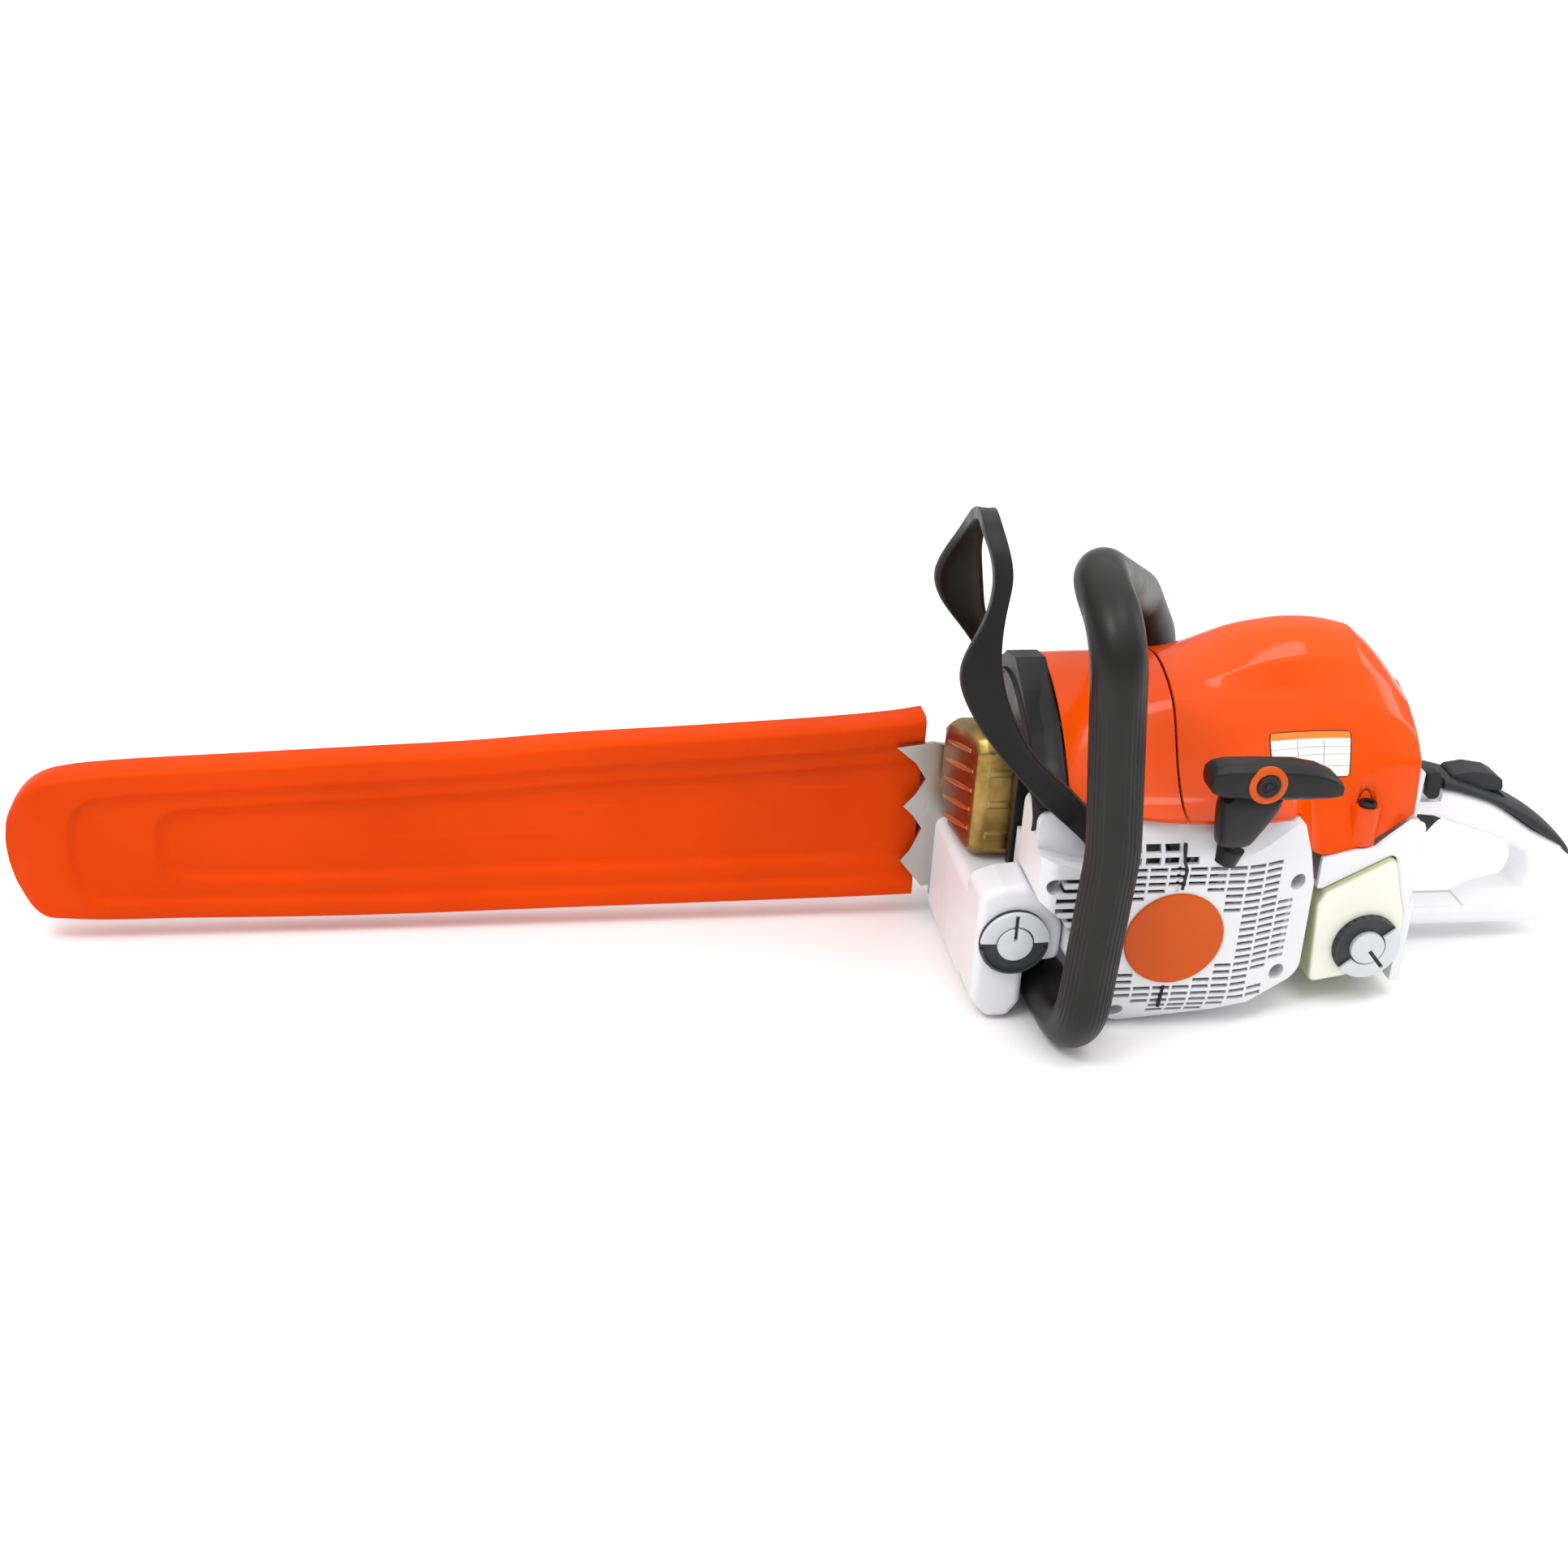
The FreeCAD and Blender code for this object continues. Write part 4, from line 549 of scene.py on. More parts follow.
# Cross-sections (y, z) from the left lower edge over the top to the right lower edge.
SHROUD = (
    (-65.5, ((-88, 142), (-84, 148), (-77, 157), (-63, 171), (-49, 183), (-30, 193.5), (-8, 202), (13, 200),
             (32, 186), (41, 164), (43, 137))),
    (-50, ((-87.8, 142), (-83, 150), (-75, 160.5), (-62, 176), (-48, 187.5), (-31, 196.5), (-10, 204),
           (13, 200.5), (32, 186), (41, 164), (43, 137))),
    (-25, ((-99, 141.7), (-88.6, 144.2), (-72, 162), (-61, 180), (-49, 191.5), (-35, 199), (-14, 206),
           (13, 201), (32.5, 186), (42, 164), (43, 137))),
    (-0.9, ((-101.5, 140.9), (-88.8, 143.2), (-72, 162), (-60.5, 183.5), (-50, 194.5), (-38, 200.8),
            (-15, 208), (13, 202), (33, 187), (42, 164), (43, 137))),
)
SHROUD_CREASE = {0: 1.0, 10: 1.0}
FILTER = (
    (0.6, ((-101.5, 140.9), (-88.8, 143.2), (-72, 162), (-60.5, 183.5), (-50, 194.5), (-38, 200.8),
           (-15, 208.5), (13, 202), (33, 187), (42, 164), (43, 137))),
    (18, ((-101.5, 140.3), (-88.4, 142.6), (-71, 163), (-59, 183), (-49.5, 193.5), (-38, 200.5), (-15, 209.5),
          (12, 204), (32, 190), (42, 165), (43, 133))),
    (36, ((-101, 139.6), (-85, 142.8), (-66, 165), (-53, 185), (-45, 194.5), (-36.5, 203.5), (-15, 216),
          (11, 212), (32, 196), (42, 166), (43, 128))),
    (52, ((-99, 139.0), (-79, 144), (-60, 166), (-48, 186.5), (-41.5, 195), (-34, 207.5), (-15, 222.5),
          (10, 219.5), (31, 201), (42, 167), (43, 125))),
    (66, ((-96, 138.2), (-74, 145), (-58.5, 166), (-45.5, 187), (-39.5, 195.5), (-33, 209.5), (-15, 224.6),
          (10, 222), (30, 203), (42, 168), (43, 122))),
    (77, ((-82.5, 137.3), (-70, 150), (-58, 164), (-45.5, 186), (-39.5, 194.5), (-32.5, 210), (-15, 226),
          (10, 224), (29.5, 204), (42, 168), (43, 112))),
    (85.5, ((-78, 113), (-68, 138), (-58, 162), (-46.5, 185), (-40.5, 193.5), (-32, 211), (-15, 226.5),
            (10, 224.5), (29, 204), (42, 168), (43, 104))),
    (93, ((-75.4, 101.2), (-67, 131), (-58, 160.5), (-47.5, 183.5), (-41.5, 192.5), (-31.5, 211),
          (-15, 226.5), (10, 224.5), (28.5, 204), (42, 168), (43, 101))),
    (106, ((-75, 102), (-66.5, 130), (-58.5, 159.5), (-49, 181), (-43, 190.5), (-31, 210), (-14.5, 225.5),
           (10, 223.5), (28, 203.5), (42, 168), (43, 102))),
    (122, ((-73.6, 105.5), (-66, 132), (-59.5, 159.5), (-52, 178), (-46.5, 187.5), (-30, 206), (-13, 221),
           (9.5, 219.5), (27, 201), (41.5, 165), (43, 105))),
    (140, ((-71, 115.5), (-65.8, 138), (-62, 158.5), (-54, 173), (-49, 180), (-30, 196), (-12, 207),
           (9, 206), (25.5, 191), (40, 161), (42.3, 110))),
    (156.6, ((-64.8, 122.4), (-62.8, 139), (-60.8, 155), (-53, 163.5), (-47.5, 169), (-30, 180), (-12, 186.6),
             (9, 185), (24, 175.5), (37, 153), (41, 119))),
)
FILTER_CREASE = {0: 1.0, 2: 0.35, 4: 0.8, 5: 0.8, 10: 1.0}


def cover_mesh(name, sections, creased_lines, creased_stations, material):
    """Smooth shell over cross-sections; creased profile lines stay crisp.  Faces look outward, so thickness
    added later goes inward.
    """
    rings = [[(x, y, z) for y, z in outline] for x, outline in sections]
    points, faces = loft(rings, closed_ends=False, wrap=False)
    mesh = bpy.data.meshes.new(name)
    mesh.from_pydata(to_metres(points), [], faces)
    count = len(rings[0])
    crease = mesh.attributes.new("crease_edge", "FLOAT", "EDGE")
    for edge in mesh.edges:
        a, b = sorted(edge.vertices)
        if b - a == count:
            crease.data[edge.index].value = creased_lines.get(a % count, 0.0)
        else:
            crease.data[edge.index].value = creased_stations.get(a // count, 0.0)
    mesh.materials.append(material)
    piece = bpy.data.objects.new(name, mesh)
    bpy.context.scene.collection.objects.link(piece)
    modifier(piece, "SUBSURF", levels=4, render_levels=4)
    settle(piece, 60.0)
    facing_out(piece)
    return piece


def facing_out(piece):
    """Makes an open shell's faces look away from the saw's middle."""
    mesh = piece.data
    middle = Vector((0.05, -0.02, 0.12))
    votes = sum(1 if (p.center - middle).dot(p.normal) > 0 else -1 for p in mesh.polygons)
    if votes < 0:
        mesh.flip_normals()


def shroud():
    piece = cover_mesh("cylinder_shroud", SHROUD, SHROUD_CREASE, {0: 1.0, 3: 1.0}, COVER_ORANGE)
    modifier(piece, "SOLIDIFY", thickness=SKIN * MM, offset=-1.0)
    settle(piece)
    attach(piece, "frame")
    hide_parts("shroud")


SCREW_WELL = (123.5, -70.5)      # x, y of the captive screw in the filter cover's side
SCREW_SEAT_Z = 131.0


def filter_cover():
    piece = cover_mesh("filter_cover_shell", FILTER, FILTER_CREASE, {0: 1.0, 9: 0.7, 11: 1.0}, COVER_ORANGE)
    modifier(piece, "SOLIDIFY", thickness=SKIN * MM, offset=-1.0)
    settle(piece)
    wall_rings = [[(x, y, z) for y, z in FILTER[-1][1]] for x in (154.4, 156.6)]
    wall = make("rear_wall", *loft(wall_rings), COVER_ORANGE, None)
    boolean(piece, wall, "UNION")
    x, y = SCREW_WELL
    boss = cylinder_mesh("boss", (x, y + 4.6, 106.5), (x, y + 4.6, SCREW_SEAT_Z), 9.6)
    boolean(piece, boss, "UNION")
    well = cylinder_mesh("well", (x, y + 1.5, SCREW_SEAT_Z), (x, y + 1.5, 178), 6.6)
    boolean(piece, well)
    smooth(piece, 34.0)
    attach(piece, "frame")
    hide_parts("filter_cover")
    screw = turned("cover_screw", (x, y + 1.5, SCREW_SEAT_Z - 0.5), (0, 0, 1),
                   ((0, 0), (0, 5.4), (2.6, 5.4), (3.2, 4.8), (3.2, 2.7), (1.4, 2.4), (1.4, 0)),
                   BLACK_PLASTIC, "frame", 36)
    return piece


def surface_tree(*pieces):
    """Ray target made of the outer surfaces of some pieces."""
    points, faces = [], []
    for piece in pieces:
        offset = len(points)
        points += [vertex.co for vertex in piece.data.vertices]
        faces += [tuple(offset + index for index in polygon.vertices) for polygon in piece.data.polygons]
    return BVHTree.FromPolygons(points, faces)


LABEL_X = (60.0, 112.0)
LABEL_Z = (147.0, 173.0)


def side_label(cover):
    """Thin blank label that follows the cover's left wall."""
    tree = surface_tree(cover)
    columns, rows = 36, 26
    corner = 2.5
    width, height = LABEL_X[1] - LABEL_X[0], LABEL_Z[1] - LABEL_Z[0]
    points, faces, spots = [], [], []
    for lift in (0.32, 0.02):
        for row in range(rows + 1):
            v = row / rows
            for column in range(columns + 1):
                u = column / columns
                z = LABEL_Z[0] + height * v
                edge = min(z - LABEL_Z[0], LABEL_Z[1] - z)
                pull = corner - math.sqrt(max(0.0, corner ** 2 - (corner - min(edge, corner)) ** 2))
                x = LABEL_X[0] + pull + (width - 2 * pull) * u
                hit, normal, _, _ = tree.ray_cast(Vector((x, -200, z)) * MM, Vector((0, 1, 0)))
                spot = hit / MM + normal * lift
                points.append(tuple(spot))
                spots.append((u, v))
    across = columns + 1
    layer = across * (rows + 1)
    for row in range(rows):
        for column in range(columns):
            a = row * across + column
            faces.append((a, a + 1, a + across + 1, a + across))
            faces.append((layer + a, layer + a + across, layer + a + across + 1, layer + a + 1))
    rim = [row * across for row in range(rows + 1)]
    rim += [rows * across + column for column in range(1, across)]
    rim += [row * across + columns for row in range(rows - 1, -1, -1)]
    rim += [column for column in range(columns - 1, 0, -1)]
    for index, a in enumerate(rim):
        b = rim[(index + 1) % len(rim)]
        faces.append((a, b, b + layer, a + layer))
    piece = make("blank_label", points, faces, LABEL_PRINT, "frame")
    layout = piece.data.uv_layers.new(name="print")
    for loop in piece.data.loops:
        layout.data[loop.index].uv = spots[loop.vertex_index]


# ---- hand guard
# Sections: front corner (x, z), rear corner (x, z), y, and the outward half thickness (y, z).
GUARD_SECTIONS = (
    ((-50, 114), (-37, 124), -95, (-4.5, 0)),
    ((-58, 126), (-44, 137), -95, (-4.5, 0)),
    ((-70, 137), (-58, 147), -95.5, (-4.5, 0)),
    ((-86, 151), (-72, 163), -95.5, (-4.5, 0)),
    ((-108, 174), (-91, 177), -91, (-4.5, 0)),
    ((-126, 196), (-104, 198), -86, (-4.5, 0)),
    ((-138, 219), (-111, 217), -81, (-4.3, 0.8)),
    ((-135, 234), (-114, 234), -77, (-4.3, 1.2)),
    ((-123, 251), (-112, 258), -72, (-4.2, 1.2)),
    ((-118.5, 271), (-108, 274), -69, (-4.2, 1)),
    ((-120.5, 287), (-110, 287), -64, (-4, 1.8)),
    ((-124, 297), (-113, 297), -55, (-2.8, 3.2)),
    ((-123, 301), (-112.5, 301), -40, (-1, 4.3)),
    ((-118, 295.5), (-107, 294.5), -15, (1, 4.3)),
    ((-113.5, 284), (-102.5, 282.5), 15, (2, 3.9)),
    ((-112, 268), (-99, 266), 36, (3.3, 2.9)),
    ((-115.5, 256), (-97, 253), 45, (4.1, 1.6)),
    ((-121.5, 243), (-94, 240), 50, (4.4, 0.8)),
    ((-124, 229), (-91, 224), 53, (4.5, 0)),
    ((-115, 211), (-88, 208), 56, (4.5, 0)),
    ((-99, 194), (-81, 191), 58, (4.5, 0)),
    ((-80, 165), (-64, 160), 55, (4.5, 0)),
    ((-60, 136), (-44, 140), 51, (4.5, 0)),
    ((-55, 116), (-39, 118), 51, (4.5, 0)),
)
GUARD_PIVOT = (-47.0, 124.0)


def hand_guard():
    """Bent band with a stiffening lip along both edges, smoothed along its whole length."""
    rings = []
    for front, rear, y, (out_y, out_z) in GUARD_SECTIONS:
        a = Vector((front[0], y, front[1]))
        b = Vector((rear[0], y, rear[1]))
        out = Vector((0, out_y, out_z))
        thick = out * 0.92
        # across the band: full at the front lip, thinner web, full at the rear lip
        spots = ((0.0, 0.62), (0.05, 0.95), (0.16, 0.78), (0.84, 0.78), (0.95, 1.0), (1.0, 0.6))
        outer = [a.lerp(b, share) + thick * height for share, height in spots]
        under = ((1.0, 0.6), (0.95, 1.0), (0.86, 0.95), (0.80, 0.3), (0.20, 0.3), (0.14, 0.95),
                 (0.05, 0.95), (0.0, 0.62))
        inner = [a.lerp(b, share) - thick * height for share, height in under]
        rings.append(outer + inner)
    points, faces = loft(rings)
    piece = make("hand_guard_band", points, faces, GUARD_BLACK, None)
    modifier(piece, "SUBSURF", levels=3, render_levels=3)
    settle(piece, 50.0)
    for y0, y1 in ((-99.3, -90.7), (46.7, 55.3)):
        outline = [(y0, 0), (y0, 7.6), (y0 + 0.9, 8.8), (y1 - 0.9, 8.8), (y1, 7.6), (y1, 0)]
        hub = turned("hub", (GUARD_PIVOT[0], 0, GUARD_PIVOT[1]), (0, 1, 0), outline, GUARD_BLACK, None)
        boolean(piece, hub, "UNION")
    for y0, y1 in ((-110, -80), (40, 70)):
        boolean(piece, cylinder_mesh("bore", (GUARD_PIVOT[0], y0, GUARD_PIVOT[1]),
                                     (GUARD_PIVOT[0], y1, GUARD_PIVOT[1]), 2.45))
    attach(piece, "guard")
    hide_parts("hand_guard")


# ---- front handlebar
HANDLE_ROUTE = ((-64, -52, 16.2), (-60, -133, 16.2), (-54, -133, 140), (-67, -133, 268), (-66, -80, 284),
                (0, 35, 226), (24, 62, 188), (31, 62, 126))
HANDLE_BENDS = (28, 150, 33, 60, 30, 22)
GRIP_RADIUS = 15.3
TUBE_RADIUS = 12.4
GRIP_START = 5.0
GRIP_TRIM_END = 13.0
RIB_COUNT = 30
RIB_DEPTH = 0.85


def eased(value, low, high):
    share = min(1.0, max(0.0, (value - low) / (high - low)))
    return share * share * (3 - 2 * share)


def handle_grip():
    """Moulded sleeve: lengthwise ribs on the side grip, plain over the top, rolled ends."""
    path = run_and_arc_path(HANDLE_ROUTE, HANDLE_BENDS, 3.0)
    frames = carried_frames(path, (1, 0, 0))
    lengths = [0.0]
    for a, b in zip(path, path[1:]):
        lengths.append(lengths[-1] + (b - a).length)
    total = lengths[-1]
    around = RIB_COUNT * 8
    rings = []
    for point, (side, up), at in zip(path, frames, lengths):
        if at < GRIP_START or at > total - GRIP_TRIM_END:
            continue
        ribbed = eased(-point.y, 100, 126) * eased(point.z, 22, 50) * (1 - eased(point.z, 200, 256))
        end_roll = min(at - GRIP_START, total - GRIP_TRIM_END - at)
        close = 1.6 * (1 - eased(end_roll, 0, 5))
        ring = []
        for k in range(around):
            angle = 2 * math.pi * k / around
            smooth_strip = 1 - math.exp(-((math.degrees(angle) - 250) / 34) ** 2)
            wave = 0.5 - 0.5 * math.cos(angle * RIB_COUNT)
            depth = RIB_DEPTH * ribbed * smooth_strip * wave ** 2
            reach = GRIP_RADIUS - close - depth
            ring.append(point + reach * (side * math.cos(angle) + up * math.sin(angle)))
        rings.append(ring)
    first, last = rings[0], rings[-1]
    for ring, where in ((first, 0), (last, len(rings))):
        centre = sum(ring, Vector()) / around
        inner = [centre + (spot - centre).normalized() * (TUBE_RADIUS + 0.05) for spot in ring]
        rings.insert(where + (1 if where else 0), inner)
    piece = make("handle_sleeve", *loft(rings), BLACK_RUBBER, "frame", 60.0)
    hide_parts("handle_grip")


# ---- rear grip
# x, top z, lower z, half width of the dark upper shell of the rear handle.
GRIP_STATIONS = (
    (184.6, 124.4, 115.6, 14.4), (190, 123.6, 114.2, 15.4), (200, 121.2, 112.0, 16.0),
    (210, 118.2, 110.2, 16.2), (226, 112.4, 105.4, 16.2), (240, 106.4, 100.2, 16.2),
    (254, 100.2, 91.6, 16.0), (268, 92.8, 81.8, 15.8), (282, 83.2, 74.4, 15.2),
    (293, 73.4, 67.6, 13.8), (299, 67.2, 61.4, 11.8), (303.4, 62.0, 57.2, 8.6),
)


def rear_grip():
    """Soft-cornered upper shell of the rear handle with the opening for the lockout."""
    rings = []
    for x, top, low, half in GRIP_STATIONS:
        crown = ((-1.0, 0.0), (-1.0, 0.38), (-0.86, 0.78), (-0.45, 0.97), (0.0, 1.0), (0.45, 0.97),
                 (0.86, 0.78), (1.0, 0.38), (1.0, 0.0), (0.4, 0.0), (-0.4, 0.0))
        rings.append([(x, half * across, low + (top - low) * up) for across, up in crown])
    points, faces = loft(rings)
    piece = make("rear_grip_shell", points, faces, GRIP_DARK, None)
    modifier(piece, "SUBSURF", levels=3, render_levels=3)
    settle(piece)
    opening = rounded_box("opening", (206.6, -9.6, 70), (247.8, 9.6, 130), 1.5, GRIP_DARK, None)
    boolean(piece, opening)
    well = rounded_box("well", (184, -18, 104), (201, -11.9, 131), 0.8, GRIP_DARK, None)
    boolean(piece, well)
    smooth(piece, 34.0)
    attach(piece, "frame")
    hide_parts("rear_grip_cover")


# ---- starter grip
# x, top z, bottom z, front y, back y of the pull handle's bar.
PULL_STATIONS = (
    (0.8, 181.2, 171.4, -122.8, -107.6), (3.6, 184.0, 167.6, -124.2, -105.8),
    (10, 185.5, 164.9, -124.6, -105.2), (26, 185.5, 163.2, -124.6, -105.0),
    (50, 184.6, 162.6, -124.6, -105.0), (64, 181.8, 162.8, -124.4, -105.2),
    (74, 177.2, 163.2, -124.0, -105.8), (79.2, 172.4, 164.6, -123.2, -106.8),
)
# centre (x, y, z), half width along x, half depth along y of the pull handle's stem.
STEM_STATIONS = (
    ((25.2, -106.2, 127.2), 10.0, 7.0), ((25.4, -108.6, 134), 11.4, 7.9), ((26.0, -111.0, 142), 14.0, 8.4),
    ((27.2, -112.8, 150), 16.8, 8.7), ((28.4, -113.6, 157), 18.8, 8.9), ((29.2, -113.9, 166), 19.4, 8.9),
)
STEM_ROUNDING = 0.62             # 1 for an ellipse, towards 0 for a box
PULL_BUTTON = (33.0, -124.5, 174.2)


def starter_pull():
    """T-shaped pull handle with chamfered bar and flared stem."""
    rings = []
    for x, top, low, front, back in PULL_STATIONS:
        cut = 0.17 * (top - low)
        cut_back = 0.2 * (top - low)
        depth = 0.22 * (back - front)
        rings.append([(x, front, low + cut), (x, front, top - cut), (x, front + depth, top),
                      (x, back - depth, top), (x, back, top - cut_back), (x, back, low + cut_back),
                      (x, back - depth, low), (x, front + depth, low)])
    bar = make("starter_pull", *loft(rings), BLACK_PLASTIC, None)
    bar = bevelled(bar, 0.9, 3, 20.0)
    rings = []
    for (cx, cy, cz), wide, deep in STEM_STATIONS:
        rings.append([(cx + wide * math.copysign(abs(c) ** STEM_ROUNDING, c),
                       cy + deep * math.copysign(abs(s) ** STEM_ROUNDING, s), cz)
                      for c, s in round_points(16)])
    stem = make("stem", *loft(rings), BLACK_PLASTIC, None)
    modifier(stem, "SUBSURF", levels=1, render_levels=1)
    settle(stem)
    boolean(bar, stem, "UNION")
    x, y, z = PULL_BUTTON
    boolean(bar, cylinder_mesh("seat", (x, y - 3, z), (x, y + 2.0, z), 11.4, 64))
    boolean(bar, cylinder_mesh("bore", (22, -97.6, 106), (31.5, -105.6, 138), 2.6))
    smooth(bar, 34.0)
    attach(bar, "grip")
    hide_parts("starter_grip")
    ring = turned("pull_ring", (x, y, z), (0, 1, 0),
                  ((1.9, 6.8), (-0.5, 6.8), (-1.0, 7.4), (-1.2, 8.2), (-0.9, 10.2), (-0.3, 11.2),
                   (1.9, 11.2)), BADGE_ORANGE, "grip", 64)
    button = turned("pull_button", (x, y, z), (0, 1, 0),
                    ((1.8, 0), (1.8, 6.7), (-1.3, 6.7), (-2.0, 6.0), (-2.0, 4.1), (-1.2, 3.5), (-1.2, 2.4),
                     (-1.9, 2.0), (-1.9, 0)), BLACK_PLASTIC, "grip", 48)


# ---- starter rope
BUSHING = Vector((26.0, -101.0, 119.0))
ROPE_AXIS = Vector((0.275, -0.233, 0.932))
ROPE_RADIUS = 1.75


def starter_rope():
    """Braided rope from the pulley through the bushing."""
    route = [(28.2, -91.5, CRANK_Z), (28.2, -91.5, 88), tuple(BUSHING), tuple(BUSHING + ROPE_AXIS * 14)]
    path = run_and_arc_path(route, (40, 60), 1.2)
    frames = carried_frames(path, (1, 0, 0))
    rings = []
    for index, (point, (side, up)) in enumerate(zip(path, frames)):
        ring = []
        for k in range(24):
            angle = 2 * math.pi * k / 24
            braid = 0.5 + 0.5 * math.cos(4 * angle + index * 0.9) * math.cos(4 * angle - index * 0.9)
            reach = ROPE_RADIUS - 0.18 * braid
            ring.append(point + reach * (side * math.cos(angle) + up * math.sin(angle)))
        rings.append(ring)
    piece = make("starter_rope_line", *loft(rings), ROPE_FIBRE, None, 60.0)
    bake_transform(piece)
    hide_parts("starter_rope")


# ---- tank caps

CAP_HUB = 10.6
CAP_SLOT_HALF = 1.15
CAP_FLAP = (11.5, 20.8, 19.0, 2.5)      # inner and outer radius, end of the slot, gap angle at the hinge


def cap(prefix, x, z, face_y, bodies, nodes, turn):
    """Screw cap: dark skirt, light hub, and the light half flap that folds out."""
    cap_body, flap_body = bodies
    # the skirt's dark floor under hub and flap shows through their slots and gaps as painted shade
    skirt = turned(prefix + "_cap_skirt", (x, face_y, z), (0, -1, 0),
                   ((0.0, 19.8), (0.0, 20.9), (3.4, 20.9), (4.6, 20.2), (5.0, 19.4), (5.0, 18.9), (2.4, 18.5),
                    (2.2, 18.0), (2.2, 11.4), (2.2, 2.0), (1.8, 0.0)), CAP_DARK, None, 96)
    notches = []
    for index in range(24):
        angle = math.radians(15 * index)
        cx, cz = x + 21.6 * math.cos(angle), z + 21.6 * math.sin(angle)
        notches.append(cylinder_mesh("notch", (cx, face_y - 6, cz), (cx, face_y - 0.8, cz), 1.3, 10))
    boolean(skirt, joined("notches", notches, None))
    half_disc = [(x + 24 * math.cos(math.radians(turn + a)), z + 24 * math.sin(math.radians(turn + a)))
                 for a in range(-8, 189, 14)]
    boolean(skirt, extruded("half", half_disc, face_y - 9, face_y - 2.25, CAP_DARK, None, 0))
    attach(skirt, cap_body)
    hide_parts(nodes[0])

    def placed(radius, degrees):
        angle = math.radians(degrees + turn)
        return (x + radius * math.cos(angle), z + radius * math.sin(angle))

    def slot_edge(radius):
        return math.degrees(math.asin(CAP_SLOT_HALF / radius))

    reach = slot_edge(CAP_HUB)
    tip, tip_angle = math.hypot(CAP_SLOT_HALF, 2.5), math.degrees(math.atan2(CAP_SLOT_HALF, 2.5))
    hub = [placed(CAP_HUB, 90 + reach + step * (360 - 2 * reach) / 60) for step in range(61)]
    hub += [placed(tip, 90 - tip_angle), placed(tip, 90 + tip_angle)]
    hub_piece = extruded(prefix + "_cap_hub", hub, face_y - 5.6, face_y - 2.0, CAP_GREY, cap_body, 0.5)
    inner, outer, slot_end, lift = CAP_FLAP
    sweep = 90 - lift - slot_edge(inner)
    flap = [placed(outer, lift + step * (180 - 2 * lift) / 48) for step in range(49)]
    flap += [placed(inner, 180 - lift - step * sweep / 20) for step in range(21)]
    flap += [placed(slot_end, 90 + slot_edge(slot_end)), placed(slot_end, 90 - slot_edge(slot_end))]
    flap += [placed(inner, 90 - slot_edge(inner) - step * sweep / 20) for step in range(21)]
    flap_piece = extruded(prefix + "_cap_flap", flap, face_y - 5.0, face_y - 2.35, CAP_GREY, flap_body, 0.45)
    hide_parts(nodes[1])


# ---- muffler
MUFFLER_Y = (-28.0, 31.5)
MUFFLER_Z = (79.0, 157.0)
MUFFLER_FACE_X = (-106.0, -114.6)
MUFFLER_RIBS = 5
MUFFLER_RIB_PITCH = 12.6
MUFFLER_RIB_Z = 86.0
MUFFLER_RIB_ENDS = (-21.5, 19.5)
MUFFLER_RIB_RISE = 11.0          # how much higher a rib starts than it ends
MUFFLER_RIB_HALF = 2.1
MUFFLER_RIB_TOP = 149.0


def muffler_ribs():
    """Slanted ribs with tapered ends on the muffler's sloping outer face."""
    made = []
    for index in range(MUFFLER_RIBS):
        rings = []
        for step in range(9):
            share = step / 8
            y = MUFFLER_RIB_ENDS[0] + (MUFFLER_RIB_ENDS[1] - MUFFLER_RIB_ENDS[0]) * share
            z = MUFFLER_RIB_Z + MUFFLER_RIB_PITCH * index + MUFFLER_RIB_RISE * (1 - share)
            if z + MUFFLER_RIB_HALF > MUFFLER_RIB_TOP:
                continue
            taper = math.sin(math.pi * (0.08 + 0.84 * share)) ** 0.35
            across = (y - MUFFLER_Y[0]) / (MUFFLER_Y[1] - MUFFLER_Y[0])
            face_x = MUFFLER_FACE_X[0] + (MUFFLER_FACE_X[1] - MUFFLER_FACE_X[0]) * across
            rings.append([(face_x + 0.6 - 1.2 * c * taper, y, z + MUFFLER_RIB_HALF * taper * s)
                          for c, s in round_points(12)])
        # the ribs carry the lighter copy of the muffler gold, a painted highlight
        made.append(make("rib", *loft(rings), MUFFLER_RIB_PAINTED_HIGHLIGHT, None))
    rib_piece = joined("muffler_ribs", made, "frame")


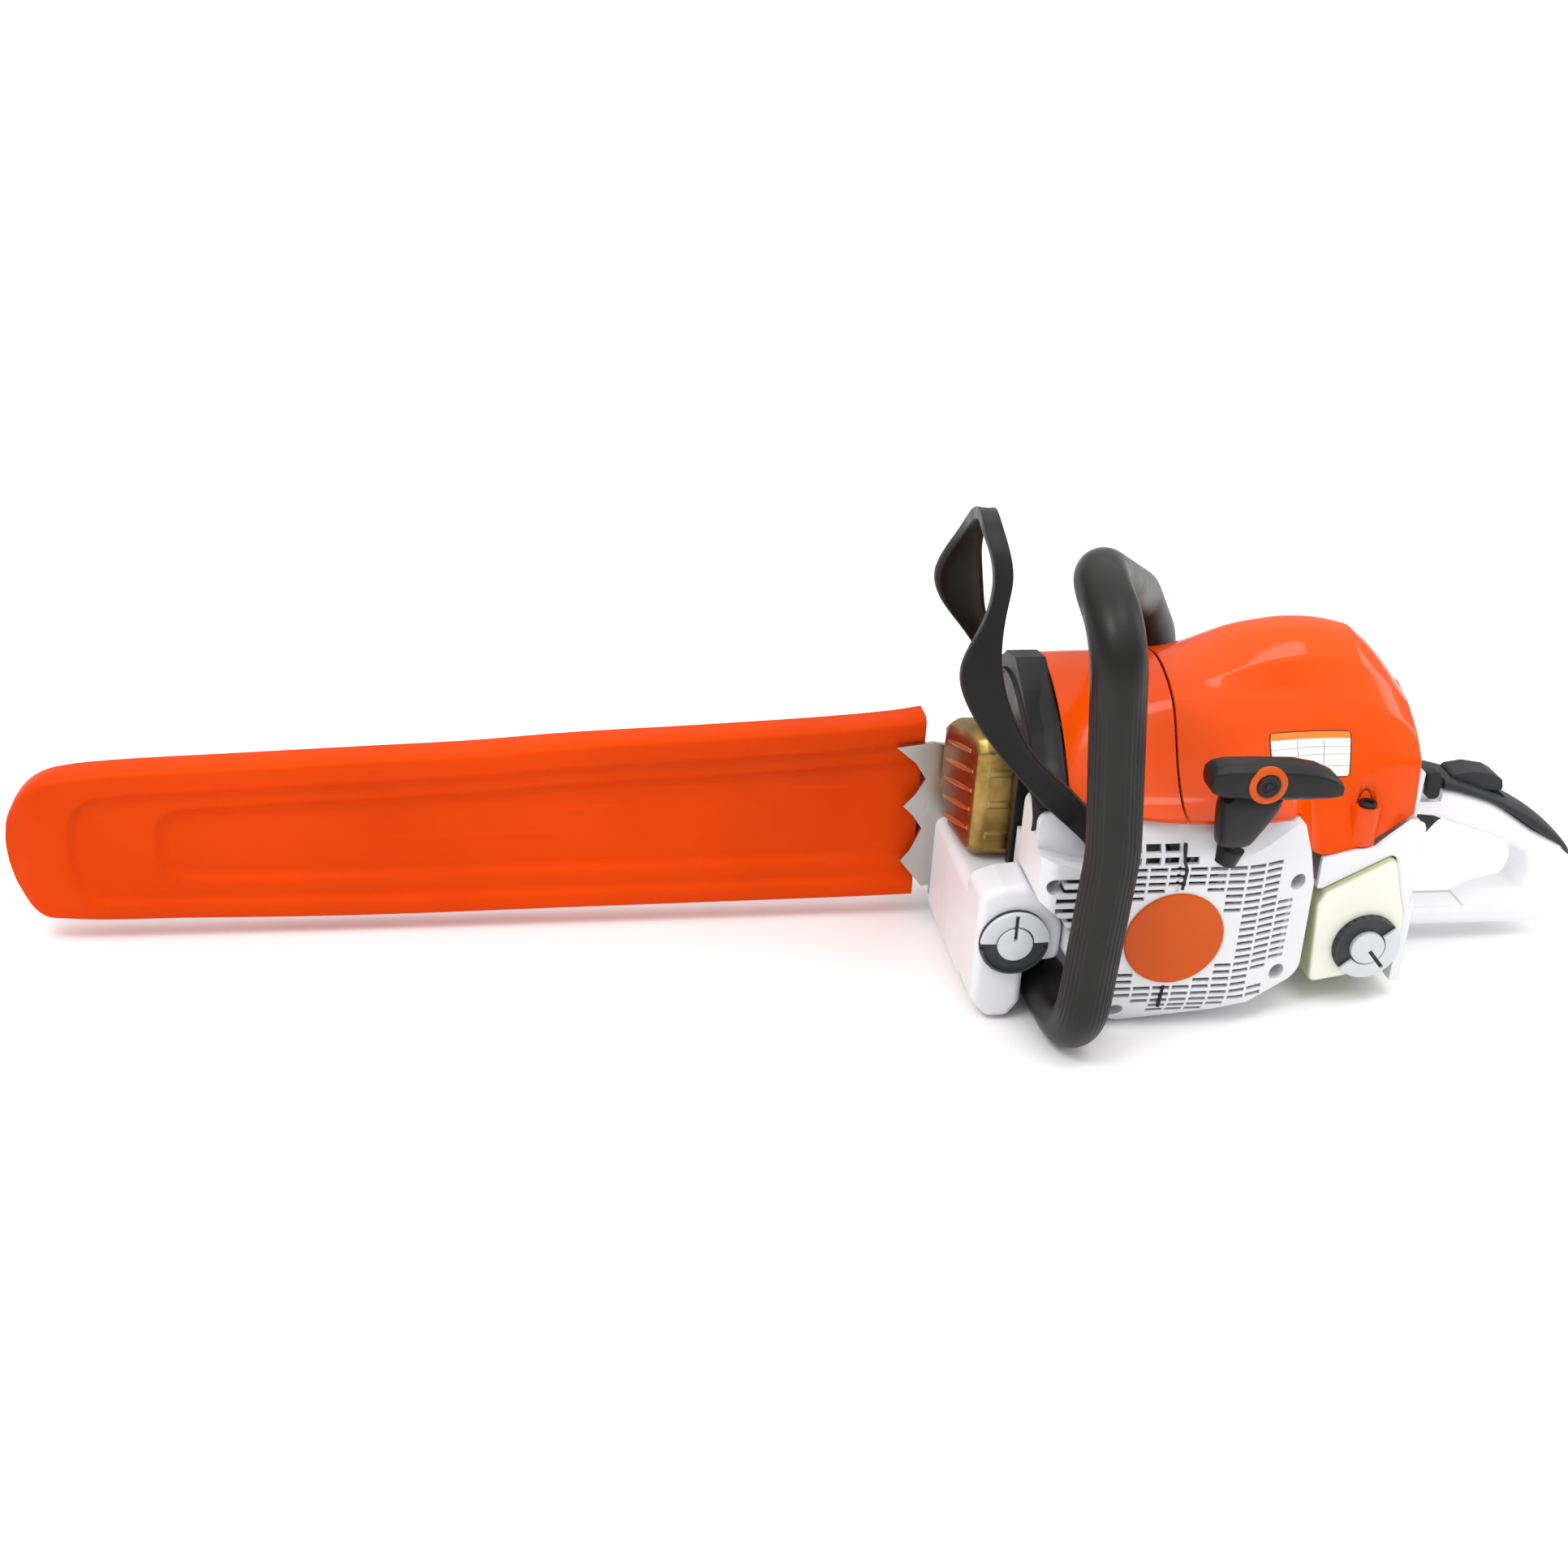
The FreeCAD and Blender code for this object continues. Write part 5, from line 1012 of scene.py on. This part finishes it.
def muffler_front():
    """Deep-drawn front half: big corner radii, banded side, slanted ribs on the outer face."""
    # rings from the flange outward: x at near side, x at far side, inset from the outline
    rings = []
    for near_x, far_x, inset in ((-75.6, -75.6, 0.0), (-77.0, -77.0, 0.0), (-99.0, -106.5, 0.4),
                                 (-104.4, -112.4, 2.6), (*MUFFLER_FACE_X, 8.0)):
        y0, y1 = MUFFLER_Y[0] + inset, MUFFLER_Y[1] - inset
        z0, z1 = MUFFLER_Z[0] + inset, MUFFLER_Z[1] - inset
        corners = [(y0, z0 + 5), (y0, z1 - 7), (y0 + 6, z1), (y0 + 17, z1), (y1 - 7, z1 - 7), (y1, z1 - 13),
                   (y1, z0 + 20), (y1 - 17, z0), (y0 + 5, z0)]
        ring = []
        for y, z in corners:
            share = (y - MUFFLER_Y[0]) / (MUFFLER_Y[1] - MUFFLER_Y[0])
            ring.append((near_x + (far_x - near_x) * share, y, z))
        rings.append(ring)
    points, faces = loft(rings)
    piece = make("muffler_front", points, faces, MUFFLER_GOLD, None, 40.0)
    bevelled(piece, 2.6, 4, 18.0)
    for z0 in (92.0, 113.0, 134.0):
        band = rounded_box("band", (-97.5, -28.9, z0), (-79.0, -26.0, z0 + 5.0), 1.0, MUFFLER_GOLD, None)
        boolean(piece, band, "UNION")
    smooth(piece, 36.0)
    piece.data.materials.append(MUFFLER_COPPER)
    for polygon in piece.data.polygons:
        if polygon.normal.x < -0.9 and polygon.center.x < -0.1015:
            polygon.material_index = len(piece.data.materials) - 1
    muffler_ribs()
    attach(piece, "frame")
    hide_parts("muffler_front_shell")


# ---- front collar

def front_collar():
    """Black collar in front of the shroud; it narrows forward round the muffler."""
    base = SHROUD[0][1]
    stations = []
    for x, shrink, drop in ((-66.0, 1.5, 0.0), (-68.0, 0.6, 0.0), (-76.0, 2.0, 1.5), (-86.0, 5.5, 5.0)):
        outline = []
        for y, z in base:
            centre_y, centre_z = -20.0, 120.0
            reach = math.hypot(y - centre_y, z - centre_z)
            scale = (reach - shrink) / reach
            outline.append((centre_y + (y - centre_y) * scale, centre_z + (z - centre_z) * scale - drop))
        low_left = (-85.5 + shrink * 0.4, 132.0 - drop)
        outline = [low_left] + outline + [(42.5 - shrink * 0.4, 118.0 - drop)]
        stations.append((x, outline))
    piece = cover_mesh("front_collar", stations, {0: 1.0, 12: 1.0}, {0: 1.0, 3: 0.6}, BLACK_PLASTIC)
    modifier(piece, "SOLIDIFY", thickness=2.4 * MM, offset=-1.0)
    settle(piece)
    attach(piece, "frame")


# ---- scabbard
SCABBARD_X = (-677.8, -122.3)
SCABBARD_Y = (38.0, 62.0)
SHEATH_STEPS = 190
SHEATH_CROWDING = 1.35           # above 1 the stations crowd towards the closed tip
SCABBARD_TOP = ((-678, 72), (-676, 84), (-671, 94), (-664, 102.5), (-654, 109), (-640, 112.5), (-621, 114.5),
                (-546, 118), (-469, 121.2), (-402, 124), (-346, 128), (-260, 132), (-172, 137), (-136, 140.4),
                (-122.3, 142.6))
SCABBARD_LOW = ((-678, 62), (-677, 50), (-674, 38), (-668, 26), (-660, 18), (-648, 15.6), (-576, 13.4),
                (-463, 11.6), (-346, 12.6), (-225, 13.6), (-160, 14.2), (-122.3, 15))
STEEP_SUM = 6.0                  # above this sum the gentler neighbour sets the slope


def along(table, x):
    """Smooth value of a table of (x, value) at x."""
    xs = [row[0] for row in table]
    values = [row[1] for row in table]
    x = min(max(x, xs[0]), xs[-1])
    index = min(max(int(np.searchsorted(xs, x)) - 1, 0), len(xs) - 2)
    x0, x1 = xs[index], xs[index + 1]
    share = (x - x0) / (x1 - x0)

    def slope(k):
        if k in (0, len(xs) - 1):
            near = min(max(k, 1), len(xs) - 1)
            return (values[near] - values[near - 1]) / (xs[near] - xs[near - 1])
        left = (values[k] - values[k - 1]) / (xs[k] - xs[k - 1])
        right = (values[k + 1] - values[k]) / (xs[k + 1] - xs[k])
        if left * right < 0:
            return 0.0
        return (left + right) / 2 if abs(left + right) < STEEP_SUM else min(left, right, key=abs)

    width = x1 - x0
    a, b = slope(index) * width, slope(index + 1) * width
    s2, s3 = share * share, share ** 3
    return ((2 * s3 - 3 * s2 + 1) * values[index] + (s3 - 2 * s2 + share) * a
            + (3 * s2 - 2 * s3) * values[index + 1] + (s3 - s2) * b)


def trough(x, z, start, top_gap, low_gap, soft):
    """1 inside a long rounded trough that begins at start and runs to the mouth, 0 outside."""
    top = along(SCABBARD_TOP, x) - top_gap
    low = along(SCABBARD_LOW, x) + low_gap
    middle, half = (top + low) / 2, (top - low) / 2
    if half <= 1:
        return 0.0
    # rounded end: superellipse in the first stretch
    lead = 26.0
    ahead = max(0.0, (start + lead - x) / lead)
    if ahead >= 1.25:
        return 0.0
    side = abs(z - middle) / half
    distance = (side ** 3.2 + ahead ** 3.2) ** (1 / 3.2)
    return 1 - eased(distance, 1 - soft / half, 1 + soft / half)


def side_relief(x, z):
    """How far the sheath's side wall sits in from its outermost plane."""
    outer = trough(x, z, -640, 17, 13, 2.6)
    inner = trough(x, z, -590, 30, 28, 3.4)
    rear = eased(x, -176, -132)
    return 3.4 * outer * (1 - 0.5 * rear) + 4.2 * inner * (1 - rear * 0.6)


def scabbard():
    """Blow-moulded sheath with a stepped side relief and a rolled upper rim."""
    start, mouth = SCABBARD_X
    stations = [start + (mouth - start) * (index / SHEATH_STEPS) ** SHEATH_CROWDING
                for index in range(SHEATH_STEPS + 1)]
    columns = 64
    rings = []
    for x in stations:
        top, low = along(SCABBARD_TOP, x), along(SCABBARD_LOW, x)
        round_top = min(4.5, (top - low) / 2.2)
        squeeze = 5.5 * (1 - eased(x, -678, -655)) ** 2
        near, far = [], []
        for k in range(columns + 1):
            z = low + (top - low) * k / columns
            corner = min(z - low, top - z)
            curve = 0.0
            if corner < round_top:
                curve = round_top - math.sqrt(max(0.0, round_top ** 2 - (round_top - corner) ** 2))
            sunk = curve + squeeze + side_relief(x, z)
            near.append((x, min(SCABBARD_Y[0] + sunk, BAR_Y - 0.4), z))
            far.append((x, max(SCABBARD_Y[1] - sunk, BAR_Y + 0.4), z))
        rings.append(near + far[::-1])
    points, faces = loft(rings, closed_ends=False)
    count = len(rings[0])
    faces.append(tuple(range(count)))
    piece = make("sheath", points, faces, SCABBARD_ORANGE, None, 60.0)
    modifier(piece, "SOLIDIFY", thickness=1.3 * MM, offset=-1.0)
    settle(piece, 60.0)
    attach(piece, "scabbard")
    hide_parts("bar_scabbard")


# ---- saw chain
BAR_Y = 50.0
PITCH = 9.32


def circle_through(a, b, c):
    """Centre and radius of the circle through three points of a plane."""
    (ax, az), (bx, bz), (cx, cz) = a, b, c
    d = 2 * (ax * (bz - cz) + bx * (cz - az) + cx * (az - bz))
    a2, b2, c2 = ax * ax + az * az, bx * bx + bz * bz, cx * cx + cz * cz
    ux = (a2 * (bz - cz) + b2 * (cz - az) + c2 * (az - bz)) / d
    uz = (a2 * (cx - bx) + b2 * (ax - cx) + c2 * (bx - ax)) / d
    return ux, uz, math.hypot(ax - ux, az - uz)


def chain_line(extra):
    """Closed path of the rivets: over the bar, round the nose, back below and round the sprocket."""
    sprocket, join, belly, nose = 20.3 + extra, 30.3 + extra, 33.3 + extra, 20.5 + extra
    cx, cz, radius = circle_through((-110, join), (-340, belly), (-611, nose))
    upper = [(-110 * k / 24, sprocket + (join - sprocket) * k / 24) for k in range(25)]
    for k in range(1, 101):
        x = -110 - 501 * k / 100
        upper.append((x, cz + math.sqrt(radius ** 2 - (x - cx) ** 2)))

    def swept(x, radius, start, end):
        return [(x + radius * math.cos(math.radians(a)), radius * math.sin(math.radians(a)))
                for a in range(start, end, 3)]

    tip = swept(-611, nose, 93, 268)
    lower = [(x, -z) for x, z in reversed(upper)]
    tail = swept(0, sprocket, -87, 88)
    return [(x, CRANK_Z + z) for x, z in upper + tip + lower + tail]


def chain():
    """Drive links, tie straps, left and right cutters, and rivets round the whole loop."""
    line = chain_line(3.2)
    closed = line + [line[0]]
    lengths = [0.0]
    for (ax, az), (bx, bz) in zip(closed, closed[1:]):
        lengths.append(lengths[-1] + math.hypot(bx - ax, bz - az))
    count = 2 * round(lengths[-1] / PITCH / 2)
    pitch = lengths[-1] / count
    xs, zs = [p[0] for p in closed], [p[1] for p in closed]

    def at(distance):
        distance %= lengths[-1]
        return Vector((np.interp(distance, lengths, xs), 0, np.interp(distance, lengths, zs)))

    plate = ((-4.5, -2.4), (-1.5, -2.9), (pitch - 7.8, -2.9), (pitch - 4.8, -2.9), (pitch + 1.5, -2.9),
             (pitch + 4.5, -2.4), (pitch + 4.3, 1.2), (pitch + 2.4, 2.7), (pitch * 0.5, 2.3), (-2.4, 2.7),
             (-4.3, 1.2))
    cutter = ((-4.6, -2.6), (pitch + 4.6, -2.6), (pitch + 4.8, 1.5), (pitch + 4.0, 3.6), (pitch + 1.6, 3.9),
              (pitch + 0.6, 1.6), (pitch - 2.2, 1.2), (pitch - 3.6, 4.4), (-3.6, 4.1), (-4.8, 1.8))
    drive = ((-3.9, -2.9), (pitch + 3.9, -2.9), (pitch + 3.9, 2.0), (pitch + 1.6, 2.8), (-1.6, 2.8),
             (-3.9, 2.0))
    top_plate = ((-3.6, 3.2), (pitch - 3.7, 3.6), (pitch - 3.4, 4.5), (-3.6, 4.1))
    points, faces = [], []

    def add(outline, origin, ahead, outward, y0, y1):
        base = len(points)
        for y in (y0, y1):
            for u, w in outline:
                spot = origin + ahead * u + outward * w
                points.append((spot.x, BAR_Y + y, spot.z))
        size = len(outline)
        faces.append(tuple(base + k for k in range(size)))
        faces.append(tuple(base + size + k for k in reversed(range(size))))
        for k in range(size):
            following = (k + 1) % size
            faces.append((base + k, base + following, base + size + following, base + size + k))

    rivet = [(2.1 * math.cos(math.pi * k / 5), 2.1 * math.sin(math.pi * k / 5)) for k in range(10)]
    for index in range(count):
        origin, target = at(index * pitch), at((index + 1) * pitch)
        ahead = (target - origin).normalized()
        outward = Vector((ahead.z, 0, -ahead.x))
        if outward.dot(origin - Vector((-300, 0, CRANK_Z))) < 0:
            outward = -outward
        if abs(origin.z - CRANK_Z) > 1:
            outward = outward if outward.z * (origin.z - CRANK_Z) > 0 or abs(outward.x) > 0.6 else -outward
        if index % 2:
            add(drive, origin, ahead, outward, -0.7, 0.7)
            continue
        role = (index // 2) % 4
        near = cutter if role == 0 else plate
        far = cutter if role == 2 else plate
        add(near, origin, ahead, outward, -2.1, -0.8)
        add(far, origin, ahead, outward, 0.8, 2.1)
        if role in (0, 2):
            side = (-3.1, 0.2) if role == 0 else (-0.2, 3.1)
            add(top_plate, origin, ahead, outward, *side)
        for centre in (origin, target):
            add(rivet, centre, ahead, outward, -2.5, -2.1)
            add(rivet, centre, ahead, outward, 2.1, 2.5)
    piece = make("chain_links", points, faces, CHAIN_STEEL, "bar")
    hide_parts("saw_chain")


# ---- small fittings

# x, z points of the dark seams above and below the badge
COVER_SEAMS = (((-0.6, 127.7), (0.4, 116.0), (2.6, 110.5), (1.4, 97.4)), ((-0.9, 32.5), (-2.1, 17.5)))


def small_fittings():
    """Black end ring of the handlebar's far run, and the starter cover's centre seams."""
    start, end = Vector(HANDLE_ROUTE[6]), Vector(HANDLE_ROUTE[7])
    spot = start.lerp(end, 0.2)
    ring = turned("handle_end_ring", spot, end - start,
                  ((-4, 15.0), (-3.6, 17.2), (-2.6, 17.9), (-1.4, 17.9), (-0.8, 17.0), (0.8, 17.0),
                   (1.4, 17.9), (2.6, 17.9), (3.6, 17.2), (4, 15.0)), BLACK_PLASTIC, "frame", 64)
    for index, line in enumerate(COVER_SEAMS):
        left = [(x - 0.9, z) for x, z in line]
        right = [(x + 0.9, z) for x, z in reversed(line)]
        seam = extruded("cover_seam_%d" % index, left + right, -104.5, -102.5, BLACK_PLASTIC, "frame", 0.2)


# ---- materials of the CAD nodes that stay
NODE_FINISH = (
    (CASE_WHITE, "crankcase_left crankcase_right sprocket_cover"),
    (CAST_ALLOY, "cylinder piston flywheel carburettor clutch oil_pump chain_catcher"),
    (STEEL, "piston_pin connecting_rod crankpin crankshaft crank_bearings spark_plug throttle_rod "
     "bumper_spike bar_studs brake_band tensioner_screw tensioner_pin"),
    (BLACK_RUBBER, "plug_boot av_buffers intake_boot"),
    (BLACK_PLASTIC, "ignition_module starter_pulley rope_bushing control_lever front_baffle"),
    (COVER_WHITE, "starter_cover"),
    (DARK_STEEL, "recoil_spring housing_screws nose_sprocket bar_nuts clutch_drum rim_sprocket"),
    (BADGE_ORANGE, "badge_disc"),
    (ALUMINIUM_TUBE, "handle_tube"),
    (HOUSING_WHITE, "rear_housing"),
    (GRIP_DARK, "throttle_trigger trigger_interlock"),
    (TANK_PLASTIC, "fuel_tank"),
    (FILTER_FLEECE, "air_filter"),
    (MUFFLER_STEEL, "muffler_rear_shell"),
    (BAR_STEEL, "guide_bar"),
)


def dress_cad_nodes():
    """Gives each CAD node that is kept its finish."""
    for finish, names in NODE_FINISH:
        for name in names.split():
            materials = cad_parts[name].data.materials
            materials.clear()
            materials.append(finish)


studio()
dress_cad_nodes()
shroud()
cover = filter_cover()
side_label(cover)
hand_guard()
handle_grip()
rear_grip()
starter_pull()
starter_rope()
cap("fuel", 134.0, 41.0, -80.0, ("fuel_cap", "fuel_bail"), ("fuel_cap", "fuel_cap_bail"), -140)
cap("oil", -90.0, 56.0, -86.0, ("oil_cap", "oil_bail"), ("oil_cap", "oil_cap_bail"), 0)
muffler_front()
front_collar()
scabbard()
chain()
small_fittings()
